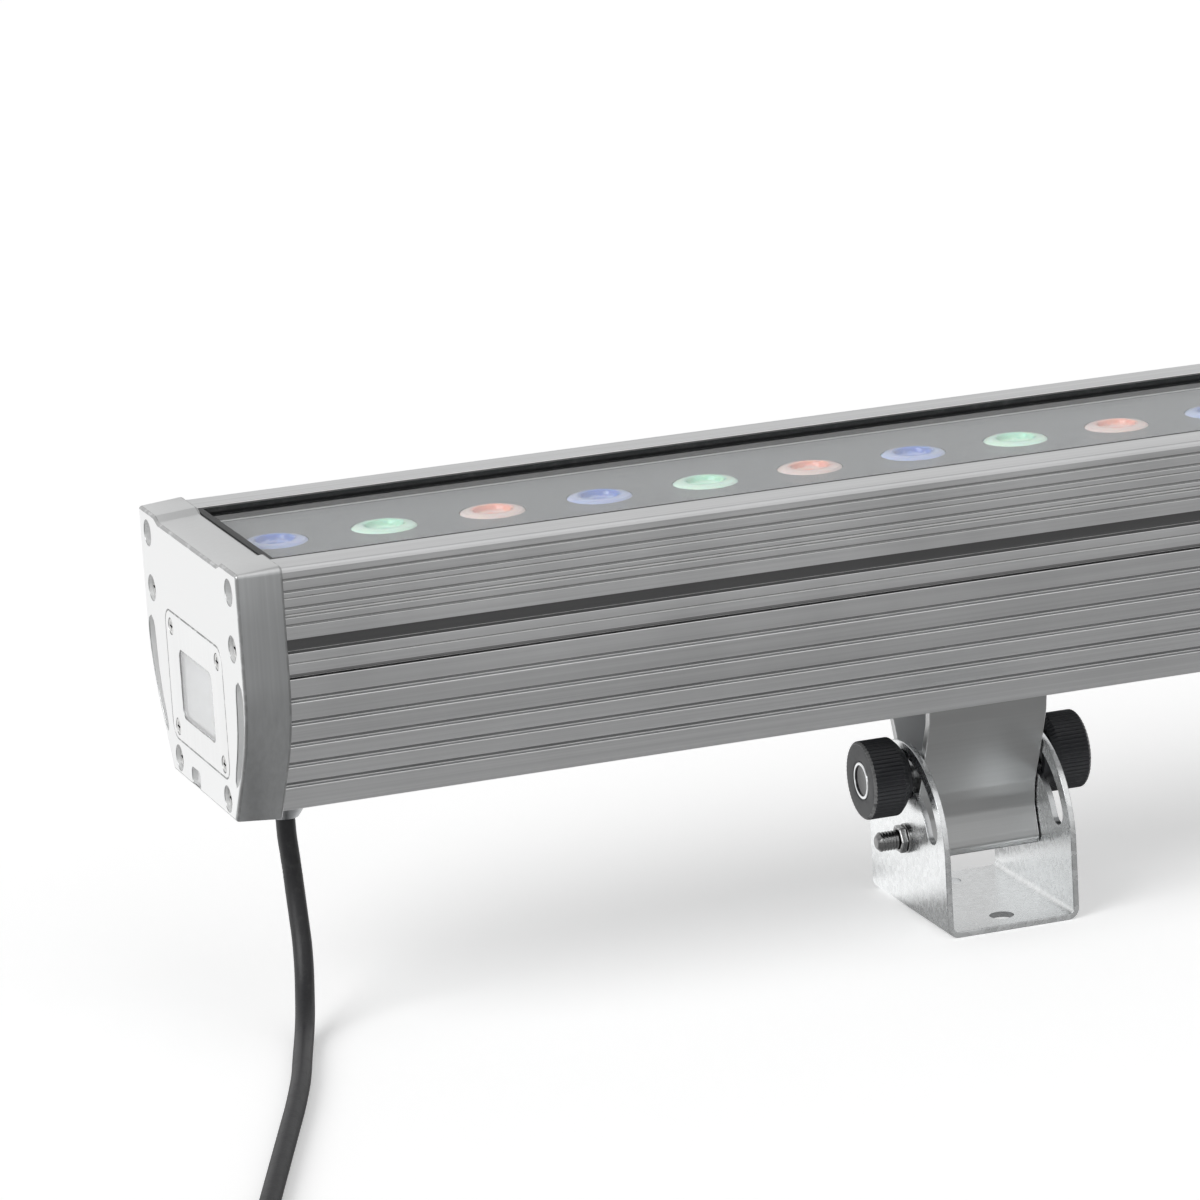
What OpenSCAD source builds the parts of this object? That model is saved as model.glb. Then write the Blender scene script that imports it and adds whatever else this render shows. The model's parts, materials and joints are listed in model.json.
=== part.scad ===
// LED bar floodlight on two tilting brackets.
// X runs along the bar, -Y is the front, Z is up. The brackets stand on Z = 0.
// The bar's middle and the brackets' middle are at X = 0, Y = 0.

/* [Lamps] */
// Number of LEDs in the row
led_count = 36; // [27:1:45]
// Distance from one LED to the next
led_pitch = 27.5; // [24:0.5:34]
// Distance from the end of the bar to the first LED
led_margin = 22; // [21:0.5:30]
// Diameter of one lens
lens_d = 16; // [12:0.5:18]
// Height of one lens with its holder
lens_h = 11; // [8:0.2:11.4]

/* [Bar] */
// Width of the end caps
cap_w = 86.6; // [84:0.2:96]
// Height of the end caps
cap_h = 65; // [64:0.5:74]
// Slope of the side below its curve, from the vertical
flare = 31.6; // [24:0.2:36]
// Thickness of the end caps
cap_t = 11.3; // [11:0.1:15]
// Draft of each side of an end cap over its thickness
cap_draft = 0.9; // [0.4:0.1:1.5]
// Depth where the straight side starts to curve in
bend_d = 28; // [25:0.5:32]
// Radius of the curved part of the side
bend_r = 40; // [34:1:50]
// How far the end caps stand proud of the extrusion
reveal = 1.3; // [0.8:0.1:2]
// Wall of the extrusion
wall = 3.2; // [2.8:0.1:4]
// Depth of the web under the LED chamber
web_d = 20.5; // [20.5:0.1:22]
// Thickness of that web
web_t = 4; // [3:0.2:5]
// Width of each small fin step on the lower side
ledge_w = 1.2; // [0.6:0.1:1.6]

/* [Window] */
// Width of the rim on each side of the window
rim_w = 11.9; // [11.5:0.1:14]
// Depth of the glass under the top of the end caps
glass_d = 2.1; // [2:0.1:3]
// Thickness of the glass
glass_t = 3; // [2.8:0.1:3.6]
// Thickness of the lens plate
plate_t = 1.2; // [1:0.1:1.6]

/* [Hangers] */
// Distance from the end of the bar to the middle of a bracket
bracket_inset = 198; // [120:1:240]
// Outside width of a bracket
bracket_w = 35.4; // [32:0.2:46]
// Length of a bracket's base, across the bar
bracket_l = 50; // [48:1:60]
// Thickness of the bracket's sheet
sheet_t = 1.5; // [1.2:0.1:2]
// Height of the pivot above the bracket's base
pivot_h = 20; // [18:0.5:28]
// Distance from the pivot up to the extrusion
arm_drop = 39.2; // [38:0.2:46]
// Radius of the knobs' arc about the pivot
slot_r = 18; // [17.5:0.1:19]
// Width of the arc slot
slot_w = 7.1; // [7:0.1:7.4]
// Tilt to each side
tilt = 70; // [30:1:70]
// Distance between the two holes in the base
base_hole_pitch = 34; // [30:0.5:40]
// Diameter of the holes in the base
base_hole_d = 6.2; // [4.5:0.1:7]
// Wall of the arm's extrusion
arm_wall = 2.4; // [1.8:0.1:3]
// Diameter of a knob
knob_d = 19.9; // [16:0.1:21]
// Thickness of a knob
knob_t = 9.9; // [7:0.1:13]
// Number of ribs round a knob
knob_ribs = 56; // [24:2:60]
// Diameter of a knob's threaded stud
stud_d = 4; // [3.6:0.1:4.1]
// Diameter of the pivot bolt
bolt_d = 5; // [4:0.1:6]

/* [Controls] */
// Width of the control cover
cover_w = 49.2; // [46:0.2:50]
// Height of the control cover
cover_h = 32.2; // [31:0.2:33]
// Depth of the control cover's top edge
cover_d = 22.6; // [22:0.2:23.5]
// Thickness of the control cover
cover_t = 2; // [1.6:0.1:2.4]
// Travel of the push buttons
button_travel = 0.3; // [0.2:0.05:0.5]

/* [Lead] */
// Diameter of the lead
lead_d = 4.8; // [4.8:0.1:5]
// Loops in each of the coil's two layers
coil_loops = 2.625; // [2.625:1:3.625]
// Radius of the coil's outermost loop
coil_r = 33.6; // [33:0.1:36]
// Gap between the coil's neighbouring turns
coil_gap = 0.5; // [0.45:0.05:0.8]

/* [Hidden] */
$fn = 48;
fine = 0.05;            // running clearance of pins, shanks and studs
fit = 0.2;              // clearance round pieces that drop into a pocket
eps = 0.02;             // how far a cut runs past the face that it opens

// The bar from end to end, and its heights
bar_l = (led_count - 1) * led_pitch + 2 * led_margin;
x_end = bar_l / 2;
half_w = cap_w / 2;
top_step = 1.15;        // the cap's middle lies this much lower than its shoulders
rim_d = 0.8;            // the rim lies this much lower than the cap's shoulders
foot_gap = 1.9;         // the cap reaches this much lower than the extrusion
body_d = cap_h - foot_gap;
top_z = pivot_h + arm_drop + body_d;

// The side's outline: straight, then an arc, then a straight flare that is tangent to it
bend_y = half_w - bend_r;
function side_y(d, gap) =
    d <= bend_d ? half_w - gap
    : d <= bend_d + (bend_r - gap) * sin(flare)
        ? bend_y + sqrt(pow(bend_r - gap, 2) - pow(d - bend_d, 2))
    : bend_y + (bend_r - gap - (d - bend_d) * sin(flare)) / cos(flare);
foot_y = side_y(cap_h, 0);
function mirrored(right) =
    concat(right, [for (i = [len(right) - 1 : -1 : 0]) [-right[i][0], right[i][1]]]);
function corner(y, d, r, a0, a1, n) =
    [for (i = [0 : n]) let (a = a0 + (a1 - a0) * i / n) [y + r * cos(a), -d + r * sin(a)]];

// Window, glass and the optical stack under it, as depths below the cap's shoulders
window_y = half_w - rim_w;
seal_t = 1.1;
seal_side = 0.7;
seal_lip = 1.6;
seal_seat = 3.2;
seal_end = 1.3;         // the seat is narrower at the ends, where the outermost lenses come near
seal_d = glass_d - seal_t;
seat_d = glass_d + glass_t + 1;
chamber_y = window_y - seal_seat - 0.7;
lens_crown = 0.65;      // how far a lens stands up out of the plate
lens_gap = 0.5;         // from there to the glass
plate_d = glass_d + glass_t + lens_crown + lens_gap;
board_t = 1.6;
led_top_d = web_d - board_t;
holder_t = 0.9;

// Fixing ports that run the whole length of the extrusion: distance from the middle, depth
port_r = 1.8;
port_high = [half_w - 7.9, 6.4];
port_mid = [half_w - 8.2, 20.1];
port_low = [foot_y - 6.3, cap_h - 5.2];
ports = [port_high, port_mid, port_low];
screw_head_r = 2.95;
screw_head_t = 2.6;
screw_sunk = 0.8;
spare_sunk = 3;         // the high holes take no screw and are sunk this much deeper
counterbore_r = 3.15;

// Grooves of the upper side: depth, height, how far they cut in
grooves = [[3.35, 0.65, 0.5], [6.2, 0.6, 0.7], [7.95, 0.3, 0.35], [10.25, 0.6, 0.7], [11.85, 0.3, 0.35],
    [12.55, 0.3, 0.35], [14.35, 0.6, 0.7], [18.1, 3.35, 2.7], [23.65, 0.3, 0.35], [26.4, 0.9, 0.8]];
// Depths at which the fin steps of the lower side start, down to the plain band at the foot
ledge_top = 27.3;
foot_band = 6.8;
ledge_count = 6;
ledge_pitch = (body_d - foot_band - ledge_top) / (ledge_count - 1);
ledges = [for (i = [0 : ledge_count - 1]) ledge_top + i * ledge_pitch];
ledge_round = 0.35;
undercut_h = 1.1;
rim_round = 2;

// Hollow channels beside the LED chamber, between the upper and the middle port
channel_h = 5;
channel_w = 6;
channel_y = half_w - 10.5;
channel_d = port_high[1] + 4 + channel_h;

// End caps and gaskets
shoulder_y = window_y - 2.8;
shoulder_run = 3.2;
cap_round = 1.8;
bonding_y = 6.8;
bonding_d = cap_h - 3.6;
bonding_pocket = [7.4, 4.2, 1.4];
bonding_r = 2;
bonding_l = 4;
bonding_sunk = 1.5;
gasket_t = 1;
gasket_in = 1.2;
inner_x = x_end - cap_t;

// Control cover, window and board in the left cap
cover_mid = cover_d + cover_h / 2;
cover_screw_y = cover_w / 2 - 4.6;
cover_screw_d = [cover_d + 3.9, cover_d + cover_h - 3.2];
cover_gasket_t = 0.8;
pane_w = 30;
pane_h = 18.8;
pane_mid = 39.4;
pane_t = 1.6;
pocket_w = 33;
pocket_h = 22.2;
panel_w = 35.6;
panel_h = 25;
panel_x = 7.4;          // from the cap's outer face to the front of the control board
display_x = 3.9;
display_size = [22, 9.4];
display_up = 4;         // above the middle of the pane
button_x = 4.3;
button_r = 1.6;
button_down_y = 5.4;    // below the middle of the pane
button_pitch = 6.6;
switch_front = 5.6;

// Driver boards on rails in the lower chamber
rail_t = 1.4;
rail_reach = 10.6;
rail_root = 5.6;        // how far a rail runs past the board's edge into the wall
floor_t = 3;
pad_y = 9;
pad_t = 9.5;
gland_flange_t = 2;
gland_in = 8.5;         // how far the gland reaches into the extrusion
block_t = 2.2;          // the lead's terminal block, on the underside of the driver board
block_gap = 0.4;
driver_d = body_d - pad_t - block_gap - block_t - board_t;
driver_y = side_y(driver_d, reveal + wall) - 3;
driver_end = 3;         // gap from the end gaskets to the driver boards
choke = [14, 14, 8];
choke_pitch = 34;
capacitor_r = 6;
capacitor_l = 15;
capacitor_pitch = 120;
controller = [14, 10, 1.6];
chip = [8, 5, 2.4];
chip_pitch = 22;
chip_y = driver_y + rail_root - rail_reach - chip[1] - 1.5;

// Brackets and arms
bracket_x = [-x_end + bracket_inset, x_end - bracket_inset];
bend_out = 3;           // outer radius of the bracket's bends
side_gap = 0.3;
arm_w = bracket_w - 2 * sheet_t - 2 * side_gap;
stud_boss_r = 5.2;
stud_at = slot_r - 1.4;   // the studs run nearer to the slot's inner edge
flange_r = bracket_l / 2;
washer_r = 3.8;
washer_t = 0.8;
nut_r = 3.7;
nut_t = 1.9;
head_t = 3;
bolt_out = 8.4;
collar_r = 6.6;
collar_t = 1.6;
insert_r = 4.75;
knob_back = 1.2;
rib_depth = 0.35;
knob_gap = 0.2;
stud_reach = 12;
arm_top_t = 3;
arm_screw_r = 2;
arm_screw_head_r = 3.6;
arm_screw_head_t = 3.4;

// The lead's way out, 50 mm above the floor
gland_x = -x_end + 19.5;
gland_r = 6;
gland_thread_r = 4.8;
gland_tip = 3;
gland_top = top_z - body_d;
gland_bottom = 50;
lead_r = lead_d / 2;
// The lead's route, counted from the bar's left end: down, then along the floor to the coil
tie_t = 0.5;
tie_w = 4;
tie_turn = 0.44;        // turns from the coil's start to the strap
route = [[19.5, 0, 50], [19.6, 0, 45], [20, 0, 40], [20.3, -0.2, 35], [20.4, -1, 30], [20.3, -2.6, 25],
    [20, -5, 19.2], [19, -8.6, 13.7], [17.5, -13, 9], [15.6, -18.6, 5.4], [13.2, -25.4, 3.1],
    [10.4, -33.6, 2.4],
    [7, -44, 2.4], [3.4, -55, 2.4], [-0.6, -66, 2.4], [-4.8, -77, 2.4], [-9.2, -88, 2.4], [-13.6, -99, 2.4],
    [-18, -110, 2.4], [-22.4, -121, 2.4], [-26.8, -132, 2.4], [-31.2, -143, 2.4], [-35.6, -154, 2.4],
    [-40, -165, 2.5], [-44.4, -176, 2.7], [-48.8, -187, 2.9]];
route_end = route[len(route) - 1];
route_dir = atan2(-11, -4.4);
lead_sides = 8;

// The coil turns clockwise from the lead's end, spirals in on the floor and out on top
coil_pitch = lead_d + coil_gap;
coil_turns = 2 * coil_loops;
loop_rings = 24;
coil_rings = round(coil_turns * loop_rings);
coil_sides = 6;
coil_start = route_dir + 90;
coil_z = route_end[2];
coil_xy = [route_end[0], route_end[1]] + lead_d * [cos(route_dir), sin(route_dir)]
    - coil_r * [cos(coil_start), sin(coil_start)];
climb = 0.5;
// The connector's grip, and the straight end that keeps it clear of the turns below
grip_r = 6.2;
grip_taper = 7;
coil_straight = sqrt(pow(coil_r + lead_r + grip_r, 2) - coil_r * coil_r) - grip_taper;
function coil_radius(t) = coil_r - coil_pitch * (coil_loops - abs(t - coil_loops));
function coil_lift(t) = coil_pitch * max(0, min(1, (t - coil_loops) / climb + 0.5));
function coil_point(t) =
    let (a = coil_start - 360 * t, r = coil_radius(t))
    [coil_xy[0] + r * cos(a), coil_xy[1] + r * sin(a), coil_z + coil_lift(t)];
coil_out_a = coil_start - 360 * coil_turns;
coil_out_dir = [sin(coil_out_a), -cos(coil_out_a), 0];
coil_path = concat([route_end], [for (i = [0 : coil_rings]) coil_point(coil_turns * i / coil_rings)],
    [coil_point(coil_turns) + coil_straight * coil_out_dir]);
coil_end = coil_path[len(coil_path) - 1];
// Least distance between two stretches of the coil that are more than a third of a loop apart
far = 8;
coil_least = min([for (i = [1 : len(coil_path) - 2]) for (j = [i + far : 1 : len(coil_path) - 2])
    norm(coil_path[i] - coil_path[j])]) - lead_d;
function length_of(p) = len(p) < 2 ? 0
    : [for (i = 0, s = 0; i < len(p); s = s + (i > 0 ? norm(p[i] - p[i - 1]) : 0), i = i + 1) s][len(p) - 1]
        + norm(p[len(p) - 1] - p[len(p) - 2]);
echo("least gap of the coil to itself", coil_least);
echo("length of the lead outside the bar", length_of(route) + length_of(coil_path));

// Connector at the lead's end
plug_r = coil_end[2];
plug_l = 30;
ring_l = 14;
ring_r = plug_r;

// Sweeps a round tube along points, with ref never parallel to the path
module tube(path, r, sides, ref) {
    n = len(path);
    tangents = [for (i = [0 : n - 1]) let (v = path[min(i + 1, n - 1)] - path[max(i - 1, 0)]) v / norm(v)];
    points = [for (i = [0 : n - 1])
        let (u0 = cross(tangents[i], ref), u = u0 / norm(u0), w = cross(tangents[i], u))
        for (k = [0 : sides - 1])
        let (a = 360 * (k + 0.5) / sides) path[i] + r * (cos(a) * u + sin(a) * w)];
    faces = concat(
        [[for (k = [0 : sides - 1]) k]],
        [for (i = [0 : n - 2]) for (k = [0 : sides - 1]) let (m = (k + 1) % sides)
            [i * sides + k, (i + 1) * sides + k, (i + 1) * sides + m, i * sides + m]],
        [[for (k = [sides - 1 : -1 : 0]) (n - 1) * sides + k]]);
    polyhedron(points, faces);
}

// Draws a shape across the bar, Y against minus depth, and extrudes it along X
module across(x, l) translate([x, 0, top_z]) rotate([90, 0, 90]) linear_extrude(height = l) children();
// A cylinder along X at a place across the bar
module rod(x, l, y, d, r) translate([x, y, top_z - d]) rotate([0, 90, 0]) cylinder(r = r, h = l);
// A rectangle with round corners round a middle
module plate2d(w, h, mid, r) {
    translate([-w / 2 + r, -mid - h / 2]) square([w - 2 * r, h]);
    translate([-w / 2, -mid - h / 2 + r]) square([w, h - 2 * r]);
    for (y = [-1, 1], z = [-1, 1]) translate([y * (w / 2 - r), -mid + z * (h / 2 - r)]) circle(r);
}
module both_sides(at) for (y = [-1, 1]) translate([y * at[0], -at[1]]) children();

// Outline of the end cap, with raised shoulders
module cap_outline(gap) {
    polygon(mirrored(concat(
        [[shoulder_y - shoulder_run, -top_step - gap], [shoulder_y, -gap]],
        corner(half_w - gap - cap_round, cap_round + gap, cap_round, 90, 0, 5),
        [for (i = [0 : 8]) let (d = bend_d + bend_r * sin(flare) * i / 8) [side_y(d, gap), -d]],
        [[side_y(cap_h - gap, gap), -cap_h + gap]])));
}

// Outline of the extrusion, before anything is cut out of it
function fin(i) =
    let (d0 = ledges[i], last = i == len(ledges) - 1, d1 = last ? body_d : ledges[i + 1])
    [[side_y(d0, reveal) - ledge_w, -d0], [side_y(d0, reveal), -d0 - ledge_round],
        [side_y(d1, reveal), -d1 + (last ? 0 : undercut_h)]];
module housing_outline() {
    difference() {
        polygon(mirrored(concat(
            corner(half_w - reveal - rim_round, rim_d + rim_round, rim_round, 90, 0, 6),
            [[half_w - reveal, -ledges[0]]],
            [for (i = [0 : len(ledges) - 1]) each fin(i)])));
        for (g = grooves, y = [-1, 1])
            translate([y * (half_w - reveal) - g[2], -g[0] - g[1]]) square([2 * g[2], g[1]]);
    }
}

// Inside of the lower chamber
module chamber2d(gap) {
    top = web_d + web_t;
    bottom = body_d - floor_t;
    polygon(mirrored(concat(
        [[side_y(top, gap), -top - gap + wall + reveal]],
        [for (i = [0 : 8]) let (d = bend_d + bend_r * sin(flare) * i / 8) [side_y(d, gap), -d]],
        [[side_y(bottom, gap), -bottom]])));
}

// The lower chamber leaves the floor's pad, the bosses of the lower ports and the boards' rails standing
module lower_chamber2d() {
    difference() {
        chamber2d(reveal + wall);
        both_sides(port_low) circle(port_r + 2.2);
        translate([-pad_y, -body_d]) square([2 * pad_y, pad_t]);
        for (y = [-1, 1], d = [driver_d - fit - rail_t, driver_d + board_t + fit])
            translate([y * (driver_y + rail_root - rail_reach / 2) - rail_reach / 2, -d - rail_t])
                square([rail_reach, rail_t]);
    }
}
module housing() {
    color("silver") difference() {
        across(-inner_x, 2 * inner_x) difference() {
            housing_outline();
            translate([-window_y, -seat_d]) square([2 * window_y, seat_d]);
            translate([-chamber_y, -web_d]) square([2 * chamber_y, web_d]);
            for (y = [-1, 1])
                translate([y * channel_y - channel_w / 2, -channel_d]) square([channel_w, channel_h]);
            lower_chamber2d();
            for (p = ports) both_sides(p) circle(port_r);
        }
        for (x = bracket_x, s = [-1, 1])
            translate([x + s * arm_w / 4, 0, top_z - body_d - 1]) cylinder(r = arm_screw_r, h = pad_t - 1);
        translate([gland_x, 0, top_z - body_d - 1]) cylinder(r = gland_thread_r, h = pad_t + 2);
    }
}

// One end cap at the left end, with its outer face at -x_end
module end_cap(control) {
    scale_y = (cap_w - 2 * cap_draft) / cap_w;
    scale_z = (cap_h - 2 * cap_draft) / cap_h;
    difference() {
        translate([-inner_x, 0, top_z - cap_h / 2]) mirror([1, 0, 0]) rotate([90, 0, 90])
            linear_extrude(height = cap_t, scale = [scale_y, scale_z], slices = 1, segments = 0, $fn = 0)
                translate([0, cap_h / 2]) cap_outline(0);
        // Seat of the end gasket
        across(-inner_x - gasket_t, gasket_t + eps) cap_outline(reveal + gasket_in);
        for (p = ports, y = [-1, 1]) {
            sunk = screw_sunk + screw_head_t + (p == port_high ? spare_sunk : 0);
            rod(-x_end - eps, sunk + eps, y * p[0], p[1], counterbore_r);
            rod(-x_end, cap_t, y * p[0], p[1], port_r + fit);
        }
        for (y = [-1, 1]) scale([1, y, 1]) across(-x_end - eps, 4.5) polygon(side_slot());
        if (control) {
            across(-x_end - eps, cover_t + cover_gasket_t + eps)
                plate2d(cover_w + fit, cover_h + fit, cover_mid, 4.1);
            across(-x_end, cap_t + eps) plate2d(pocket_w, pocket_h, pane_mid, 2);
            across(-x_end + panel_x, cap_t) plate2d(panel_w + fit, panel_h + fit, pane_mid, 1);
            for (y = [-1, 1], d = cover_screw_d) rod(-x_end, 8, y * cover_screw_y, d, 1.05);
            rod(-x_end, bonding_sunk + bonding_l, bonding_y, bonding_d, bonding_r + fine);
            across(-x_end - eps, bonding_sunk + eps) translate([bonding_y, 0])
                plate2d(bonding_pocket[0], bonding_pocket[1], bonding_d, bonding_pocket[2]);
        }
    }
}
// The recess beside the cover follows the cap's side and narrows downwards
function side_slot() =
    let (n = 16, d0 = 27.6, d1 = 54.8)
    concat(
        [for (i = [0 : n]) let (s = i / n, d = d0 + (d1 - d0) * s)
            [side_y(d, 5.3 - 1.5 * s - (3.3 - 1.5 * s) * sqrt(1 - pow(abs(2 * s - 1), 6))), -d]],
        [for (i = [n - 1 : -1 : 1]) let (s = i / n, d = d0 + (d1 - d0) * s)
            [side_y(d, 5.3 - 1.5 * s + (3.3 - 1.5 * s) * sqrt(1 - pow(abs(2 * s - 1), 6))), -d]]);

module end_cap_left() color("gainsboro") end_cap(true);
module end_cap_right() color("gainsboro") mirror([1, 0, 0]) end_cap(false);

// Flat gasket between an end cap and the extrusion, open at the chamber and the ports
module end_gasket() {
    color("dimgray") across(-inner_x - gasket_t, gasket_t) difference() {
        cap_outline(reveal + gasket_in + fit / 2);
        intersection() {
            chamber2d(reveal + wall + 1);
            translate([-half_w, -port_low[1] + port_r + 2]) square([cap_w, cap_h]);
        }
        for (p = ports) both_sides(p) circle(port_r + fit);
    }
}
module end_gasket_left() end_gasket();
module end_gasket_right() mirror([1, 0, 0]) end_gasket();

// Cross slots that a driver bit fits, cut into a head whose face is at x
module cross_slot(x, y, d, size) {
    translate([x + size / 4, y, top_z - d]) {
        cube([size / 2 + 2 * eps, size * 1.5, size * 0.3], center = true);
        cube([size / 2 + 2 * eps, size * 0.3, size * 1.5], center = true);
    }
}
module end_screws() {
    head_x = -x_end + screw_sunk;
    color("lightgray") for (p = [port_mid, port_low], y = [-1, 1]) difference() {
        union() {
            rod(head_x, screw_head_t, y * p[0], p[1], screw_head_r);
            rod(head_x, 22, y * p[0], p[1], port_r - fine);
        }
        cross_slot(head_x, y * p[0], p[1], 2.8);
    }
}
module end_screws_left() end_screws();
module end_screws_right() mirror([1, 0, 0]) end_screws();
// Grub screw with a hex socket in the cap's lower edge
module bonding_screw() {
    color("dimgray") difference() {
        rod(-x_end + bonding_sunk, bonding_l, bonding_y, bonding_d, bonding_r);
        translate([-x_end + bonding_sunk - eps, bonding_y, top_z - bonding_d]) rotate([0, 90, 0])
            cylinder(r = 0.65 * bonding_r, h = bonding_l / 2, $fn = 6);
    }
}

module control_cover() {
    color("whitesmoke") difference() {
        across(-x_end, cover_t) plate2d(cover_w, cover_h, cover_mid, 4);
        across(-x_end - eps, cover_t + 1) plate2d(pane_w - 1.6, pane_h - 1.6, pane_mid, 2.2);
        across(-x_end + cover_t - pane_t, pane_t + 1) plate2d(pane_w + 0.1, pane_h + 0.1, pane_mid, 3);
        for (y = [-1, 1], d = cover_screw_d) {
            rod(-x_end - eps, 0.9, y * cover_screw_y, d, 2.1);
            rod(-x_end, 3, y * cover_screw_y, d, 1.2);
        }
    }
}
module control_gasket() {
    color("dimgray") across(-x_end + cover_t, cover_gasket_t) difference() {
        plate2d(cover_w - 0.4, cover_h - 0.4, cover_mid, 3.8);
        plate2d(pocket_w - 6, pocket_h - 6, pane_mid, 2);
        for (y = [-1, 1], d = cover_screw_d) translate([y * cover_screw_y, -d]) circle(1.3);
    }
}
module control_window() color("azure", 0.5)
    across(-x_end + cover_t - pane_t, pane_t) plate2d(pane_w, pane_h, pane_mid, 3);
module cover_screws() {
    color("lightgray") for (y = [-1, 1], d = cover_screw_d) difference() {
        union() {
            rod(-x_end + 0.1, 0.8 - eps, y * cover_screw_y, d, 2);
            rod(-x_end + 0.1, 7.5, y * cover_screw_y, d, 1);
        }
        cross_slot(-x_end + 0.1, y * cover_screw_y, d, 1.6);
    }
}
module control_board() color("darkgreen")
    across(-x_end + panel_x, board_t) plate2d(panel_w, panel_h, pane_mid, 0.8);
module display_module() {
    color("black") across(-x_end + display_x, panel_x - display_x)
        translate([-display_size[0] / 2, -pane_mid + display_up - display_size[1] / 2]) square(display_size);
}
function button_y(i) = (i - 1.5) * button_pitch;
module button_switches() {
    color("black") for (i = [0 : 3]) difference() {
        across(-x_end + switch_front, panel_x - switch_front)
            translate([button_y(i) - 2.2, -pane_mid - button_down_y - 2.2]) square(4.4);
        rod(-x_end + switch_front - eps, 1.5, button_y(i), pane_mid + button_down_y, button_r + fine);
    }
}
module push_button(i) {
    color("gray") rod(-x_end + button_x, switch_front - button_x + 1.45 - button_travel - 0.1,
        button_y(i), pane_mid + button_down_y, button_r);
}
module button_menu() push_button(0);
module button_up() push_button(1);
module button_down() push_button(2);
module button_enter() push_button(3);

module window_glass() {
    color("lightcyan", 0.35) in_recess(seal_side, seal_side, glass_d, glass_d + glass_t);
}
// A block that leaves a border to the ends and another to the sides of the window recess, between two depths
module in_recess(end, side, from, to) {
    across(-inner_x + end, 2 * (inner_x - end))
        translate([-window_y + side, -to]) square([2 * (window_y - side), to - from]);
}
module window_seal() {
    color("black") difference() {
        in_recess(0, 0, seal_d, seat_d);
        in_recess(seal_lip, seal_lip, seal_d - eps, glass_d + eps);
        in_recess(seal_side, seal_side, glass_d, glass_d + glass_t);
        in_recess(seal_end, seal_seat, glass_d + glass_t - eps, seat_d + eps);
    }
}

function led_x(i) = -x_end + led_margin + i * led_pitch;
plate_y = chamber_y - fit / 2;
module lens_plate() {
    color("slategray") difference() {
        across(-inner_x + seal_end + fit, 2 * (inner_x - seal_end - fit))
            translate([-plate_y, -plate_d - plate_t]) square([2 * plate_y, plate_t]);
        for (i = [0 : led_count - 1])
            translate([led_x(i), 0, top_z - plate_d - plate_t - 1])
                cylinder(r = lens_d / 2 + 0.15, h = plate_t + 2);
    }
}
// A lens gathers light through a wall that widens upwards to a low crown, with a hollow at each end
module lens() {
    r = lens_d / 2;
    rotate_extrude($fn = 40) polygon([[0, 3.6], [2.6, 3], [2.6, 0.2], [r * 0.52, 0.2],
        [r * 0.8, lens_h * 0.55], [r - 0.8, lens_h - 1.6], [r, lens_h - 1.2], [r, lens_h - 0.1],
        [r * 0.92, lens_h + 0.45 * lens_crown], [r * 0.78, lens_h + 0.85 * lens_crown],
        [r * 0.62, lens_h + lens_crown], [r * 0.54, lens_h + 0.9 * lens_crown],
        [r * 0.46, lens_h - 0.9], [r * 0.25, lens_h - 1.6], [0, lens_h - 1.8]]);
}
holder_z = top_z - led_top_d;
lens_z = top_z - plate_d - lens_h;
module lenses(first) {
    for (i = [first : 3 : led_count - 1]) translate([led_x(i), 0, lens_z]) lens();
}
module lenses_blue() color("lightsteelblue") lenses(0);
module lenses_green() color("mediumaquamarine") lenses(1);
module lenses_red() color("lightsalmon") lenses(2);
// Cups that stand on the LED board and carry the lenses under the plate
module lens_holders() {
    holder_h = lens_z - holder_z + lens_h - plate_t - 0.4;
    color("black") for (i = [0 : led_count - 1]) translate([led_x(i), 0, holder_z]) difference() {
        cylinder(r = lens_d / 2 + holder_t, h = holder_h);
        translate([0, 0, -1]) cylinder(r = lens_d / 2 - 0.65, h = holder_h + 2);
    }
}
module led_board() {
    n = 3;
    l = 2 * (inner_x - 1) / n;
    color("whitesmoke") for (i = [0 : n - 1])
        across(-inner_x + 1 + i * l, l - 1)
            translate([-plate_y + 3, -web_d]) square([2 * plate_y - 6, board_t]);
}
module led_emitters() {
    color("khaki") for (i = [0 : led_count - 1]) translate([led_x(i), 0, holder_z]) {
        translate([-2.5, -2.5, 0]) cube([5, 5, 0.9]);
        cylinder(r = 1.9, h = 1.6, $fn = 24);
    }
}
// Screws between the LEDs that hold the boards to the web
module board_screws() {
    color("lightgray") for (i = [1 : 3 : led_count - 2], y = [-1, 1])
        translate([led_x(i) + led_pitch / 2, y * (plate_y - 7), holder_z])
            cylinder(r = 2.4, h = 1.8, $fn = 24);
}

driver_l = 2 * (inner_x - driver_end);
module driver_board() {
    color("darkgreen") across(-driver_l / 2, driver_l)
        translate([-driver_y, -driver_d - board_t]) square([2 * driver_y, board_t]);
}
// Coils, capacitors and a controller chip for each third of the row, and the lead's terminal block
module driver_components() {
    z = top_z - driver_d;
    n = 3;
    step = driver_l / n;
    for (i = [0 : n - 1]) translate([-driver_l / 2 + step * (i + 0.5), 0, z]) {
        for (k = [-1 : 1]) color("dimgray")
            translate([k * choke_pitch - choke[0] / 2, -chip_y - 1, 0]) cube(choke);
        for (k = [-1, 1]) color("black") translate([k * capacitor_pitch / 2, -capacitor_r - 1, 0])
            cylinder(r = capacitor_r, h = capacitor_l);
        color("black") translate([-controller[0] / 2, 1, 0]) cube(controller);
        for (k = [-2 : 2]) color("black") translate([k * chip_pitch, chip_y, 0]) cube(chip);
    }
    color("seagreen") translate([gland_x - 8, -5, z - board_t - block_t]) cube([16, 10, block_t]);
}

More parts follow.
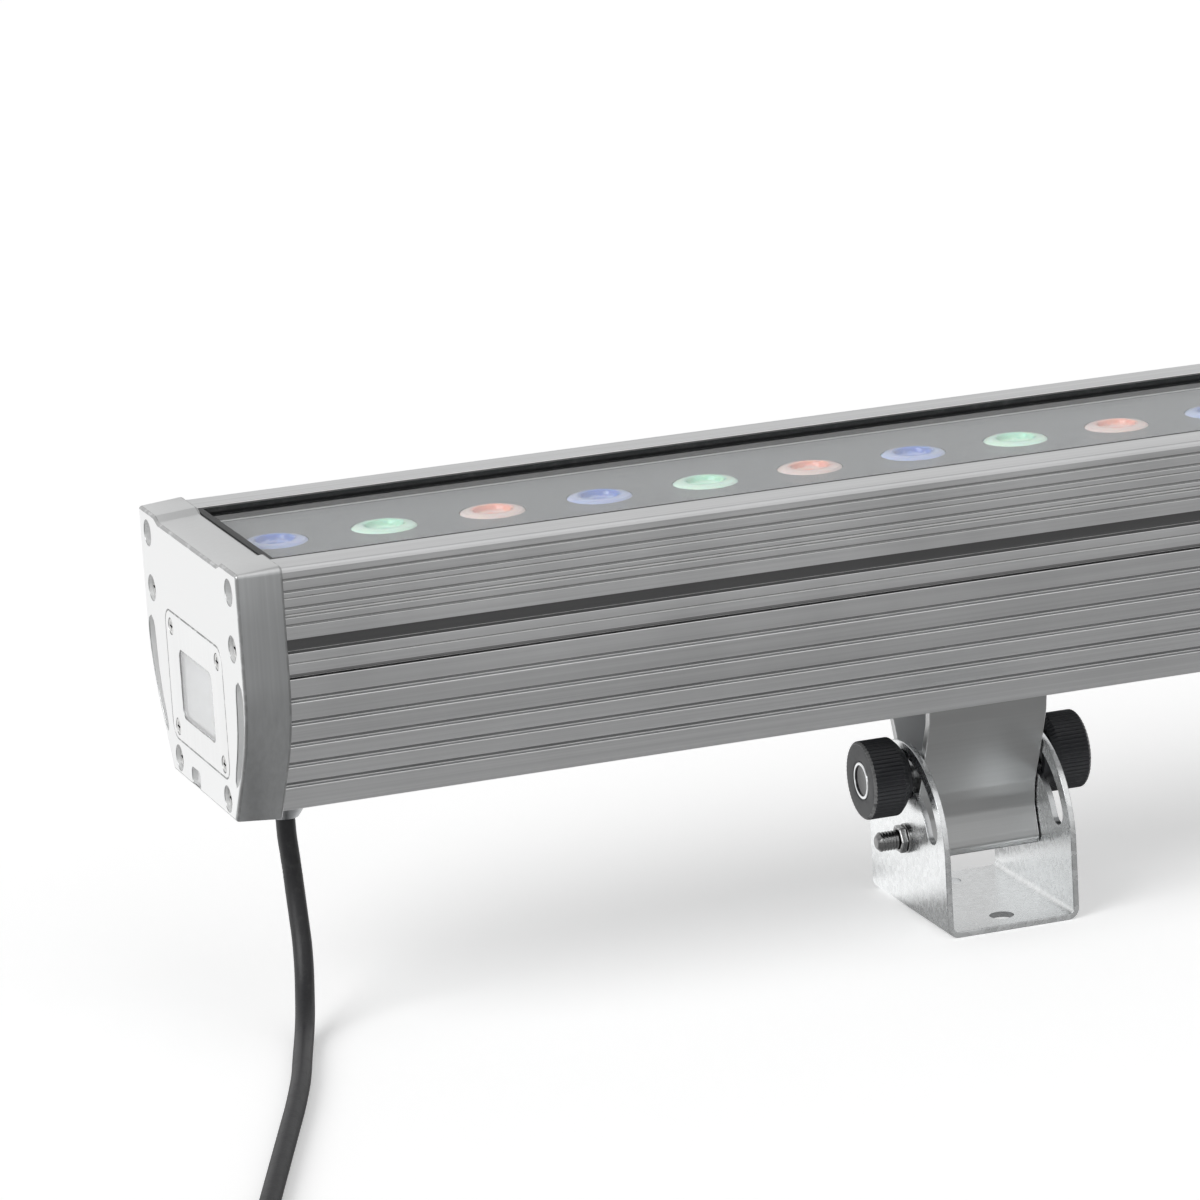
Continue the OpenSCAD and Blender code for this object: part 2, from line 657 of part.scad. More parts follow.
// The arm is one extruded length: a hollow wedge on a foot for the pivot, with a boss for the studs
module arm_section() {
    top = arm_drop;
    difference() {
        polygon(mirrored([[14.6, top], [14.6, top - 3.1], [13.9, top - 7.4], [10, top - 16.7],
            [6.4, top - 24.5], [4.3, 12.2], [3.8, 9.4], [3.7, 6.8], [3.9, 4.6], [4.3, 2.7], [4.8, 0.8],
            [5.4, -1.3], [5.8, -2.9], [5.2, -4.5], [3.2, -5.4]]));
        polygon(mirrored([[14.6 - arm_wall, top - arm_top_t], [13.9 - arm_wall, top - 7.4],
            [10 - arm_wall - 0.2, top - 16.7], [6.4 - arm_wall - 0.3, stud_at - 2.8]]));
    }
}
module arm(x) {
    color("darkgray") difference() {
        translate([x - arm_w / 2, 0, pivot_h]) union() {
            rotate([90, 0, 90]) linear_extrude(height = arm_w) arm_section();
            translate([0, 0, stud_at]) rotate([0, 90, 0]) cylinder(r = stud_boss_r, h = arm_w);
        }
        translate([x - arm_w, 0, pivot_h + stud_at]) rotate([0, 90, 0])
            cylinder(r = stud_d / 2 + fine, h = 2 * arm_w);
        translate([x - arm_w, 0, pivot_h]) rotate([0, 90, 0]) cylinder(r = bolt_d / 2 + fine, h = 2 * arm_w);
        for (s = [-1, 1]) translate([x + s * arm_w / 4, 0, pivot_h + arm_drop - arm_top_t - 1])
            cylinder(r = arm_screw_r + fit, h = arm_top_t + 2);
    }
}
module arm_left() arm(bracket_x[0]);
module arm_right() arm(bracket_x[1]);
module arm_screws(x) {
    z = pivot_h + arm_drop - arm_top_t;
    color("lightgray") for (s = [-1, 1]) translate([x + s * arm_w / 4, 0, z]) difference() {
        union() {
            translate([0, 0, -arm_screw_head_t]) cylinder(r = arm_screw_head_r, h = arm_screw_head_t);
            cylinder(r = arm_screw_r - fine, h = arm_top_t + 7);
        }
        translate([0, 0, -arm_screw_head_t - 1]) cylinder(r = 1.6, h = 3, $fn = 6);
    }
}
module arm_screws_left() arm_screws(bracket_x[0]);
module arm_screws_right() arm_screws(bracket_x[1]);

// Arc slot about the pivot, open far enough for the studs at full tilt
module arc_slot() {
    a0 = 90 - tilt;
    far_out = 2 * flange_r;
    intersection() {
        difference() {
            circle(slot_r + slot_w / 2, $fn = 96);
            circle(slot_r - slot_w / 2, $fn = 96);
        }
        polygon([[0, 0], far_out * [cos(a0), sin(a0)], far_out * [cos(50), sin(50)],
            far_out * [cos(130), sin(130)], far_out * [cos(180 - a0), sin(180 - a0)]]);
    }
    for (a = [a0, 180 - a0]) rotate(a) translate([slot_r, 0]) circle(slot_w / 2 - eps);
}
// The sheet is bent to a U, with its base on the floor
module bracket_section() {
    w = bracket_w / 2;
    h = pivot_h + flange_r + 1;
    polygon(concat(
        [[w, h]], corner(w - bend_out, -bend_out, bend_out, 0, -90, 6),
        corner(bend_out - w, -bend_out, bend_out, -90, -180, 6), [[-w, h], [sheet_t - w, h]],
        corner(bend_out - w, -bend_out, bend_out - sheet_t, 180, 270, 6),
        corner(w - bend_out, -bend_out, bend_out - sheet_t, -90, 0, 6), [[w - sheet_t, h]]));
}
module bracket(x) {
    color("lightgray") difference() {
        intersection() {
            translate([x, flange_r, 0]) rotate([90, 0, 0])
                linear_extrude(height = bracket_l) bracket_section();
            translate([x - bracket_w / 2 - 1, 0, 0]) rotate([90, 0, 90])
                linear_extrude(height = bracket_w + 2) union() {
                translate([-flange_r, 0]) square([bracket_l, pivot_h]);
                translate([0, pivot_h]) circle(flange_r, $fn = 96);
            }
        }
        translate([x - bracket_w / 2 - 1, 0, pivot_h]) rotate([90, 0, 90])
            linear_extrude(height = bracket_w + 2) arc_slot();
        translate([x - bracket_w / 2 - 1, 0, pivot_h]) rotate([0, 90, 0])
            cylinder(r = bolt_d / 2 + fine, h = bracket_w + 2);
        for (y = [-1, 1])
            translate([x, y * base_hole_pitch / 2, -1]) cylinder(d = base_hole_d, h = sheet_t + 2);
    }
}
module bracket_left() bracket(bracket_x[0]);
module bracket_right() bracket(bracket_x[1]);

// Everything along the pivot or the studs is drawn along X, with its start at the origin
module on_axis(x, z) translate([x, 0, z]) rotate([0, 90, 0]) children();
module pivot_bolt(x) {
    flange = bracket_w / 2;
    color("dimgray") {
        difference() {
            on_axis(x + flange + washer_t, pivot_h) cylinder(r = nut_r, h = head_t, $fn = 6);
            on_axis(x + flange + washer_t + head_t - 1.4, pivot_h) cylinder(r = 1.6, h = 3);
        }
        on_axis(x - flange - bolt_out + 1, pivot_h)
            cylinder(r = bolt_d / 2, h = 2 * flange + bolt_out + washer_t - 1);
        on_axis(x - flange - bolt_out, pivot_h)
            cylinder(r1 = bolt_d / 2 - 1, r2 = bolt_d / 2, h = 1, $fn = 32);
    }
}
module pivot_bolt_left() pivot_bolt(bracket_x[0]);
module pivot_bolt_right() pivot_bolt(bracket_x[1]);
// A washer and a nut outside the left flange, and a washer under the head on the right
module pivot_nuts(x) {
    flange = bracket_w / 2;
    color("gray") {
        for (at = [x - flange - washer_t, x + flange]) difference() {
            on_axis(at, pivot_h) cylinder(r = washer_r, h = washer_t);
            on_axis(at - 1, pivot_h) cylinder(r = bolt_d / 2 + fine, h = washer_t + 2);
        }
        difference() {
            on_axis(x - flange - washer_t - nut_t, pivot_h) cylinder(r = nut_r, h = nut_t, $fn = 6);
            on_axis(x - flange - washer_t - nut_t - 1, pivot_h)
                cylinder(r = bolt_d / 2 + fine, h = nut_t + 2);
        }
    }
}
module pivot_nuts_left() pivot_nuts(bracket_x[0]);
module pivot_nuts_right() pivot_nuts(bracket_x[1]);

// A knob outside a flange, facing -X for side -1 and +X for side 1, with the stud's axis above the pivot
function ribbed(r, n) = [for (i = [0 : 2 * n - 1])
    let (a = 180 * i / n) (i % 2 == 0 ? r : r - rib_depth) * [cos(a), sin(a)]];
module knob_place(x, side)
    translate([x + side * bracket_w / 2, 0, pivot_h + stud_at]) rotate([0, side * 90, 0]) children();
module knob(x, side) {
    r = knob_d / 2;
    color("black") knob_place(x, side) difference() {
        union() {
            translate([0, 0, knob_gap]) cylinder(r = collar_r, h = collar_t);
            translate([0, 0, knob_gap + collar_t]) cylinder(r1 = r - 1.6, r2 = r - 0.7, h = knob_back);
            translate([0, 0, knob_gap + collar_t + knob_back]) linear_extrude(height = knob_t - knob_back)
                polygon(ribbed(r, knob_ribs));
        }
        translate([0, 0, -1]) cylinder(r = insert_r, h = knob_t + collar_t + 3);
    }
}
// The stud with the metal insert that is moulded into the knob
module stud(x, side) {
    color("silver") knob_place(x, side) {
        translate([0, 0, -sheet_t - side_gap - stud_reach])
            cylinder(r = stud_d / 2, h = stud_reach + sheet_t + side_gap + 1);
        difference() {
            translate([0, 0, knob_gap]) cylinder(r = insert_r, h = knob_t + collar_t);
            translate([0, 0, knob_gap + knob_t + collar_t - 0.5]) cylinder(r = insert_r - 0.75, h = 1);
        }
    }
}
module knob_left_outer() knob(bracket_x[0], -1);
module knob_left_inner() knob(bracket_x[0], 1);
module knob_right_inner() knob(bracket_x[1], -1);
module knob_right_outer() knob(bracket_x[1], 1);
module stud_left_outer() stud(bracket_x[0], -1);
module stud_left_inner() stud(bracket_x[0], 1);
module stud_right_inner() stud(bracket_x[1], -1);
module stud_right_outer() stud(bracket_x[1], 1);

// Gland: a threaded body in the extrusion's floor, and a nut that narrows to the lead
module cable_gland() {
    color("gray") difference() {
        union() {
            translate([gland_x, 0, gland_top - gland_flange_t]) cylinder(r = gland_r, h = gland_flange_t);
            translate([gland_x, 0, gland_top - gland_flange_t])
                cylinder(r = gland_thread_r - fine, h = gland_flange_t + gland_in);
        }
        translate([gland_x, 0, gland_top - gland_flange_t - 1]) cylinder(r = lead_r + fine, h = pad_t + 5);
    }
}
module gland_nut() {
    color("gray") difference() {
        union() {
            translate([gland_x, 0, gland_bottom + gland_tip])
                cylinder(r = gland_r, h = gland_top - gland_flange_t - gland_bottom - gland_tip);
            translate([gland_x, 0, gland_bottom])
                cylinder(r1 = lead_r + 0.9, r2 = gland_r - 0.6, h = gland_tip);
        }
        translate([gland_x, 0, gland_bottom - 1])
            cylinder(r = lead_r + fine, h = gland_top - gland_bottom + 2);
    }
}
module inner_lead() {
    color("black") translate([gland_x, 0, gland_bottom])
        cylinder(r = lead_r, h = top_z - driver_d - board_t - block_t - gland_bottom);
}
module power_cord() {
    color("black") translate([-x_end, 0, 0]) tube(route, lead_r, lead_sides, [1, 0, 0]);
}
module cord_coil() {
    color("black") translate([-x_end, 0, 0]) tube(coil_path, lead_r, coil_sides, [0, 0, 1]);
}
// A strap round the turns at one place on the coil
module coil_tie() {
    r_in = coil_radius(tie_turn + floor(coil_loops)) - lead_r - fit;
    w = coil_radius(tie_turn) + lead_r + fit - r_in;
    h = coil_pitch + lead_d;
    color("dimgray") translate([coil_xy[0] - x_end, coil_xy[1], 0]) rotate(coil_start - 360 * tie_turn)
        translate([r_in - tie_t, tie_w / 2, 0]) rotate([90, 0, 0])
            linear_extrude(height = tie_w) difference() {
            square([w + 2 * tie_t, h + 2 * tie_t + fit]);
            translate([tie_t, tie_t]) square([w, h + fit]);
        }
}

// The connector lies on the floor beside the coil
module at_plug(from) {
    translate([coil_end[0] - x_end, coil_end[1], coil_end[2]] + from * coil_out_dir)
        rotate([0, 90, atan2(coil_out_dir[1], coil_out_dir[0])]) children();
}
module connector_body() {
    nose_r = grip_r - 1.6;
    color("black") at_plug(0) rotate_extrude() polygon([[0, 0], [lead_r + 1, 0],
        [grip_r, grip_taper], [grip_r, plug_l],
        [nose_r, plug_l], [nose_r, plug_l + 9], [0, plug_l + 9]]);
}
module connector_ring() {
    color("black") difference() {
        at_plug(plug_l + 0.3) linear_extrude(height = ring_l) polygon(ribbed(ring_r, 20));
        at_plug(plug_l - 1) cylinder(r = grip_r - 1.6 + fine, h = ring_l + 3);
    }
}
module connector_pins() {
    color("gold") for (k = [0 : 4]) at_plug(plug_l + 9)
        rotate(72 * k) translate([2.4, 0, 0]) cylinder(r = 0.5, h = 4, $fn = 16);
}

housing();
end_cap_left();
end_cap_right();
end_gasket_left();
end_gasket_right();
end_screws_left();
end_screws_right();
bonding_screw();
control_cover();
control_gasket();
control_window();
cover_screws();
control_board();
display_module();
button_switches();
button_menu();
button_up();
button_down();
button_enter();
window_glass();
window_seal();
lens_plate();
lenses_blue();
lenses_green();
lenses_red();
lens_holders();
led_board();
led_emitters();
board_screws();
driver_board();
driver_components();
arm_left();
arm_right();
arm_screws_left();
arm_screws_right();
bracket_left();
bracket_right();
pivot_bolt_left();
pivot_bolt_right();
pivot_nuts_left();
pivot_nuts_right();
knob_left_outer();
knob_left_inner();
knob_right_inner();
knob_right_outer();
stud_left_outer();
stud_left_inner();
stud_right_inner();
stud_right_outer();
cable_gland();
gland_nut();
inner_lead();
power_cord();
cord_coil();
coil_tie();
connector_body();
connector_ring();
connector_pins();
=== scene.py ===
"""LED bar floodlight: the looks of a straight wall-washer bar with its controls, lamps, hangers and lead.

Sizes are in millimetres until a mesh is built, and Blender's objects are in metres in the frame's own axes:
X runs along the bar, -Y is the front and Z is up. A depth is counted down from the end caps' shoulders.
"""

from __future__ import annotations

import json
import logging
import math
from dataclasses import dataclass, field
from enum import Enum
from typing import Callable, Sequence

import bmesh
import bpy
import numpy as np
from mathutils import Matrix, Vector
from mathutils.geometry import tessellate_polygon


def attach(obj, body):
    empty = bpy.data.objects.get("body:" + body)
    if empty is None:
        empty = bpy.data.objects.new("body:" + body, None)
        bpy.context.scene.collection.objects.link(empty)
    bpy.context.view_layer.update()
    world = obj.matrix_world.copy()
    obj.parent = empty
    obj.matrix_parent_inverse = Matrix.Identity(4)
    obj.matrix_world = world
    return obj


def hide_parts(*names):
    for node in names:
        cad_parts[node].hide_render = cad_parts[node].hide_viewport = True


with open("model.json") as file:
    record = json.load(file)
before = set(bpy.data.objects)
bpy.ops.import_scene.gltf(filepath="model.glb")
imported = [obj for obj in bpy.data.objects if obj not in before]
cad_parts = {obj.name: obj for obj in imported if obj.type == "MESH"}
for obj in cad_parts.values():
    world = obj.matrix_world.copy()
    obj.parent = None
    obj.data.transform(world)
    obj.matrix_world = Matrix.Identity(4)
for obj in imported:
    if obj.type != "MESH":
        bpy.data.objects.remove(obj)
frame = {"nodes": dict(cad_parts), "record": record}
log = logging.getLogger("floodlight")

MM = 0.001
Colour = tuple[float, float, float]
Place = Callable[[np.ndarray, float], np.ndarray]


class Side(Enum):
    """The two ends of the bar, as the sign of X."""

    LEFT = -1
    RIGHT = 1

    @property
    def label(self) -> str:
        """The side's name within the names of pieces."""
        return self.name.lower()


class Grain(Enum):
    """The direction in which a metal's fine lines run, as the stretch of the pattern along X, Y and Z."""

    ALONG_X = (6.0, 900.0, 900.0)
    ALONG_Z = (700.0, 700.0, 14.0)
    CAST = (520.0, 520.0, 520.0)


def widdershins(loop: np.ndarray) -> np.ndarray:
    """Turns a closed outline so that it runs anticlockwise.

    Args:
        loop: The outline's points, one row each.

    Returns:
        The same points, reversed where their signed area is below zero.
    """
    following = np.roll(loop, -1, axis=0)
    area = (loop[:, 0] * following[:, 1] - following[:, 0] * loop[:, 1]).sum()
    return loop if area > 0 else loop[::-1]


def offset(loop: np.ndarray, distance: float) -> np.ndarray:
    """Moves a closed outline outwards; each point goes along its mitre, the sum of its two sides' normals
    divided by one plus their dot product.

    Args:
        loop: An anticlockwise outline.
        distance: How far its sides move out, below zero for inwards.

    Returns:
        The moved points, as many as before.
    """
    side = np.roll(loop, -1, axis=0) - loop
    side /= np.maximum(np.linalg.norm(side, axis=1, keepdims=True), 1e-9)
    normal = np.stack([side[:, 1], -side[:, 0]], axis=1)
    before = np.roll(normal, 1, axis=0)
    mitre = (normal + before) / np.maximum(1 + (normal * before).sum(1, keepdims=True), 0.35)
    return loop + distance * mitre


def rounded(corners: Sequence[Sequence[float]], radii: float | Sequence[float], steps: int = 4) -> np.ndarray:
    """Rounds the corners of an outline; an arc of radius r touches both sides at r / tan(half the angle)
    from the corner, and its points turn evenly from one touching point to the other.

    Args:
        corners: The outline's corners.
        radii: One radius for each corner, or one for all.
        steps: Spans in one arc.

    Returns:
        An outline with steps + 1 points for each corner.
    """
    at = np.asarray(corners, float)
    back = np.roll(at, 1, axis=0) - at
    ahead = np.roll(at, -1, axis=0) - at
    long_back = np.linalg.norm(back, axis=1)
    long_ahead = np.linalg.norm(ahead, axis=1)
    back /= np.maximum(long_back, 1e-9)[:, None]
    ahead /= np.maximum(long_ahead, 1e-9)[:, None]
    half = 0.5 * np.arccos(np.clip((back * ahead).sum(1), -1, 1))
    radius = np.broadcast_to(np.asarray(radii, float), len(at))
    reach = np.minimum(radius / np.tan(half), 0.45 * np.minimum(long_back, long_ahead))
    radius = reach * np.tan(half)
    toward = back + ahead
    toward /= np.maximum(np.linalg.norm(toward, axis=1, keepdims=True), 1e-9)
    centre = at + toward * (radius / np.maximum(np.sin(half), 1e-6))[:, None]
    first = at + back * reach[:, None] - centre
    last = at + ahead * reach[:, None] - centre
    turn = np.maximum(math.pi - 2 * half, 1e-6)[:, None]
    share = np.linspace(0, 1, steps + 1)[None, :]
    near = np.sin((1 - share) * turn) / np.sin(turn)
    far = np.sin(share * turn) / np.sin(turn)
    points = centre[:, None] + near[..., None] * first[:, None] + far[..., None] * last[:, None]
    return points.reshape(-1, 2)


def circle(radius: float, y: float = 0.0, z: float = 0.0, sides: int = 40) -> np.ndarray:
    """Gives a circle's points: radius times cosine and sine of evenly spaced angles round a middle."""
    a = np.linspace(0, 2 * math.pi, sides, endpoint=False)
    return np.stack([y + radius * np.cos(a), z + radius * np.sin(a)], axis=1)


def oblong(width: float, height: float, radius: float, y: float = 0.0, z: float = 0.0,
           steps: int = 6) -> np.ndarray:
    """Gives a rectangle with round corners round a middle."""
    w, h = width / 2, height / 2
    return rounded([(y - w, z - h), (y + w, z - h), (y + w, z + h), (y - w, z + h)], radius, steps)


def grid_quads(rows: int, columns: int, around: bool = True, along: bool = False) -> np.ndarray:
    """Gives the four-sided faces between neighbouring points of a grid.

    Args:
        rows: How many rows the grid has.
        columns: How many points a row has.
        around: Whether a row's last point meets its first.
        along: Whether the last row meets the first.

    Returns:
        One row of four indices for each face.
    """
    row = np.arange(rows if along else rows - 1)[:, None]
    column = np.arange(columns if around else columns - 1)[None, :]
    row_after, column_after = (row + 1) % rows, (column + 1) % columns
    corners = [row * columns + column, row * columns + column_after,
               row_after * columns + column_after, row_after * columns + column]
    return np.stack(np.broadcast_arrays(*corners), axis=-1).reshape(-1, 4)


def keep_flat(mesh: bpy.types.Mesh, sharp: float) -> None:
    """Marks edges above an angle as sharp and leaves flat faces flat."""
    smooth = np.empty(len(mesh.polygons), bool)
    mesh.polygons.foreach_get("use_smooth", smooth)
    mesh.set_sharp_from_angle(angle=math.radians(sharp))
    mesh.polygons.foreach_set("use_smooth", smooth)
    mesh.update()


@dataclass
class Shell:
    """A mesh in the making. Each face has an edge value: 1 on a rounded edge, -1 in a pit, 0 elsewhere."""

    points: list[np.ndarray] = field(default_factory=list)
    tones: list[np.ndarray] = field(default_factory=list)
    faces: list[list[int]] = field(default_factory=list)
    edges: list[float] = field(default_factory=list)
    smooth: list[bool] = field(default_factory=list)
    count: int = 0

    def add(self, points: np.ndarray, faces: np.ndarray, edge: float | np.ndarray = 0.0,
            smooth: bool | np.ndarray = True, tone: float | np.ndarray = 0.0) -> None:
        """Adds a stretch of surface.

        Args:
            points: Its points, in any grid whose last axis is X, Y, Z.
            faces: Indices into these points, one face a row.
            edge: The faces' edge value.
            smooth: Whether the faces are shaded smooth.
            tone: A value for each point that a finish may read.
        """
        flat = points.reshape(-1, 3)
        self.points.append(flat)
        self.tones.append(np.broadcast_to(np.asarray(tone, float).ravel(), len(flat)))
        self.faces.extend((faces + self.count).tolist())
        self.edges.extend(np.broadcast_to(np.asarray(edge, float), len(faces)).tolist())
        self.smooth.extend(np.broadcast_to(np.asarray(smooth, bool), len(faces)).tolist())
        self.count += len(flat)

    def add_rings(self, rings: np.ndarray, edge: float | np.ndarray = 0.0, smooth: bool | np.ndarray = True,
                  tone: float | np.ndarray = 0.0) -> None:
        """Adds the surface between rings in turn; edge and smooth may differ from gap to gap."""
        rows, columns = rings.shape[:2]
        gaps = [np.repeat(np.broadcast_to(np.asarray(v), rows - 1), columns) for v in (edge, smooth)]
        self.add(rings, grid_quads(rows, columns), gaps[0], gaps[1], tone)

    def fill(self, loops: Sequence[np.ndarray], edge: float = 0.0, tone: float = 0.0) -> None:
        """Fills a flat face inside the first loop and outside the others."""
        triangles = tessellate_polygon([[Vector(p) for p in loop] for loop in loops])
        self.add(np.concatenate(loops), np.array(triangles), edge, False, tone)

    def moved(self, turn: np.ndarray, shift: Sequence[float] = (0, 0, 0)) -> Shell:
        """Gives a copy whose points are turned by a 3 by 3 matrix and then shifted."""
        points = [p @ turn.T + np.asarray(shift, float) for p in self.points]
        return Shell(points, list(self.tones), list(self.faces), list(self.edges), list(self.smooth),
                     self.count)

    def join(self, other: Shell) -> None:
        """Takes in another shell's surfaces."""
        self.faces.extend([[i + self.count for i in f] for f in other.faces])
        self.points.extend(other.points)
        self.tones.extend(other.tones)
        self.edges.extend(other.edges)
        self.smooth.extend(other.smooth)
        self.count += other.count

    def build(self, name: str, material: bpy.types.Material, sharp: float = 40.0) -> bpy.types.Object:
        """Makes the mesh: its doubles are merged, its faces point outwards and its steep edges stay sharp.

        Args:
            name: The object's name.
            material: Its finish.
            sharp: The angle in degrees above which an edge stays sharp.

        Returns:
            An object at the origin with its place in its mesh.
        """
        mesh = bpy.data.meshes.new(name)
        mesh.from_pydata(np.concatenate(self.points) * MM, [], self.faces)
        edge = np.array(self.edges, np.float32)
        mesh.attributes.new("edge", "FLOAT", "FACE").data.foreach_set("value", edge)
        tone = np.concatenate(self.tones).astype(np.float32)
        mesh.attributes.new("tone", "FLOAT", "POINT").data.foreach_set("value", tone)
        mesh.polygons.foreach_set("use_smooth", np.array(self.smooth, bool))
        work = bmesh.new()
        work.from_mesh(mesh)
        bmesh.ops.remove_doubles(work, verts=work.verts, dist=2e-6)
        bmesh.ops.dissolve_degenerate(work, edges=work.edges, dist=1e-7)
        bmesh.ops.recalc_face_normals(work, faces=work.faces)
        work.to_mesh(mesh)
        work.free()
        keep_flat(mesh, sharp)
        mesh.materials.append(material)
        piece = bpy.data.objects.new(name, mesh)
        bpy.context.scene.collection.objects.link(piece)
        return piece


@dataclass(frozen=True)
class Pit:
    """A pocket or a hole that is sunk into a face, with the pits that are sunk into its own floor."""

    outline: np.ndarray
    depth: float
    rim: float = 0.15
    pits: tuple[Pit, ...] = ()


ROUND_STEPS = 3
THROUGH = 99.0


def quarter(radius: float) -> list[tuple[float, float]]:
    """Gives a quarter round from the face to the side, as pairs of inset and depth: r(1 - cos a) and
    r(1 - sin a)."""
    angles = np.linspace(math.pi / 2, 0, ROUND_STEPS + 1)
    return [(radius * (1 - math.cos(a)), radius * (1 - math.sin(a))) for a in angles]


def sink(shell: Shell, place: Place, pit: Pit, top: float,
         bottom: float) -> tuple[np.ndarray, np.ndarray | None]:
    """Sinks a pit: a quarter round at its rim, a straight wall, and a floor unless it goes right through.

    Args:
        shell: Takes the surfaces.
        place: Sets a flat outline at a depth.
        pit: What is sunk.
        top: The depth of the face that it is sunk into.
        bottom: The depth of the plate's back.

    Returns:
        The ring in the face above and, for a hole right through, the ring in the plate's back.
    """
    outline = widdershins(pit.outline)
    profile = [(inset, top + deep) for inset, deep in quarter(pit.rim)]
    floor = min(top + pit.depth, bottom)
    round_rings = [place(offset(outline, inset), deep) for inset, deep in profile]
    rings = np.stack([*round_rings, place(outline, floor)])
    # The rim's round takes the edge mark; the wall and floor take the pit mark, painted shade on most
    # finishes.
    shell.add_rings(rings, np.array([1.0] * ROUND_STEPS + [-1.0]))
    if top + pit.depth >= bottom:
        return rings[0], rings[-1]
    holes = [sink(shell, place, inner, floor, bottom) for inner in pit.pits]
    shell.fill([rings[-1]] + [above for above, _ in holes], -1.0)
    through = [below for _, below in holes if below is not None]
    return rings[0], through[0] if through else None


def plate(place: Place, outline: np.ndarray, thickness: float, pits: Sequence[Pit] = (), rim: float = 0.3,
          draft: float = 0.0, tone: float = 0.0) -> Shell:
    """Makes a plate with rounded edges and sunken pits. Each ring of its side is the outline drawn in by the
    quarter round's inset and by the draft, which falls to nothing at the back.

    Args:
        place: Sets a flat outline at a depth below the front.
        outline: The plate's outline at its back.
        thickness: From the front to the back.
        pits: Pockets and holes in the front.
        rim: Radius of the front and back edges.
        draft: How much smaller the front is on each side.
        tone: A value for every point.

    Returns:
        The plate's surfaces.
    """
    shell = Shell()
    outline = widdershins(outline)
    front = quarter(rim)
    back = [(inset, thickness - deep) for inset, deep in quarter(min(rim, 0.3 * thickness))[::-1]]
    profile = [(inset + draft * (1 - deep / thickness), deep) for inset, deep in front + back]
    rings = np.stack([place(offset(outline, -inset), deep) for inset, deep in profile])
    shell.add_rings(rings, np.array([1.0] * ROUND_STEPS + [0.0] + [1.0] * ROUND_STEPS), True, tone)
    holes = [sink(shell, place, pit, 0.0, thickness) for pit in pits]
    shell.fill([rings[0]] + [above for above, _ in holes], 0.0, tone)
    shell.fill([rings[-1]] + [below for _, below in holes if below is not None], 0.0, tone)
    return shell


def facing_x(x_front: float, sign: int, z_zero: float) -> Place:
    """Gives a place for plates across the bar: outlines hold Y and height over z_zero, and depth runs from
    x_front against the sign."""
    def place(flat: np.ndarray, depth: float) -> np.ndarray:
        return np.column_stack([np.full(len(flat), x_front - sign * depth), flat[:, 0], z_zero + flat[:, 1]])
    return place


def facing_z(z_front: float) -> Place:
    """Gives a place for level plates: outlines hold X and Y, and depth runs down from z_front."""
    def place(flat: np.ndarray, depth: float) -> np.ndarray:
        return np.column_stack([flat, np.full(len(flat), z_front - depth)])
    return place


def revolve(profile: Sequence[Sequence[float]], sides: int = 48, edge: float | np.ndarray = 0.0,
            ripple: np.ndarray | None = None, waves: int = 0, tone: float | np.ndarray = 0.0) -> Shell:
    """Turns a profile of radius and height round Z. A point's radius is its profile's, less its ripple times
    half of one plus the cosine of waves times the angle.

    Args:
        profile: Pairs of radius and height; it starts and ends on the axis or meets itself.
        sides: Points in a ring.
        edge: Edge value of each gap between rings.
        ripple: Depth of the ripple at each ring.
        waves: How many ripples go round.
        tone: A value for each ring.

    Returns:
        The surface.
    """
    pairs = np.asarray(profile, float)
    a = np.linspace(0, 2 * math.pi, sides, endpoint=False)
    depth = np.zeros(len(pairs)) if ripple is None else ripple
    radius = pairs[:, :1] - depth[:, None] * (0.5 + 0.5 * np.cos(waves * a))[None, :]
    height = np.broadcast_to(pairs[:, 1:], radius.shape)
    rings = np.stack([radius * np.cos(a), radius * np.sin(a), height], axis=-1)
    shell = Shell()
    tones = np.repeat(np.broadcast_to(np.asarray(tone, float), len(pairs)), sides)
    shell.add_rings(rings, edge, True, tones)
    return shell


def soft_profile(corners: Sequence[Sequence[float]], radii: Sequence[float], steps: int = 3) -> np.ndarray:
    """Rounds the inner corners of an open profile and leaves its two ends as they are."""
    ends = np.asarray(corners, float)
    spans = rounded(ends, radii, steps).reshape(len(ends), steps + 1, 2)
    return np.vstack([ends[:1], spans[1:-1].reshape(-1, 2), ends[-1:]])


UPRIGHT_TO_X = {
    1: np.array([[0.0, 0, 1], [0, 1, 0], [-1, 0, 0]]),
    -1: np.array([[0.0, 0, -1], [0, 1, 0], [1, 0, 0]]),
}


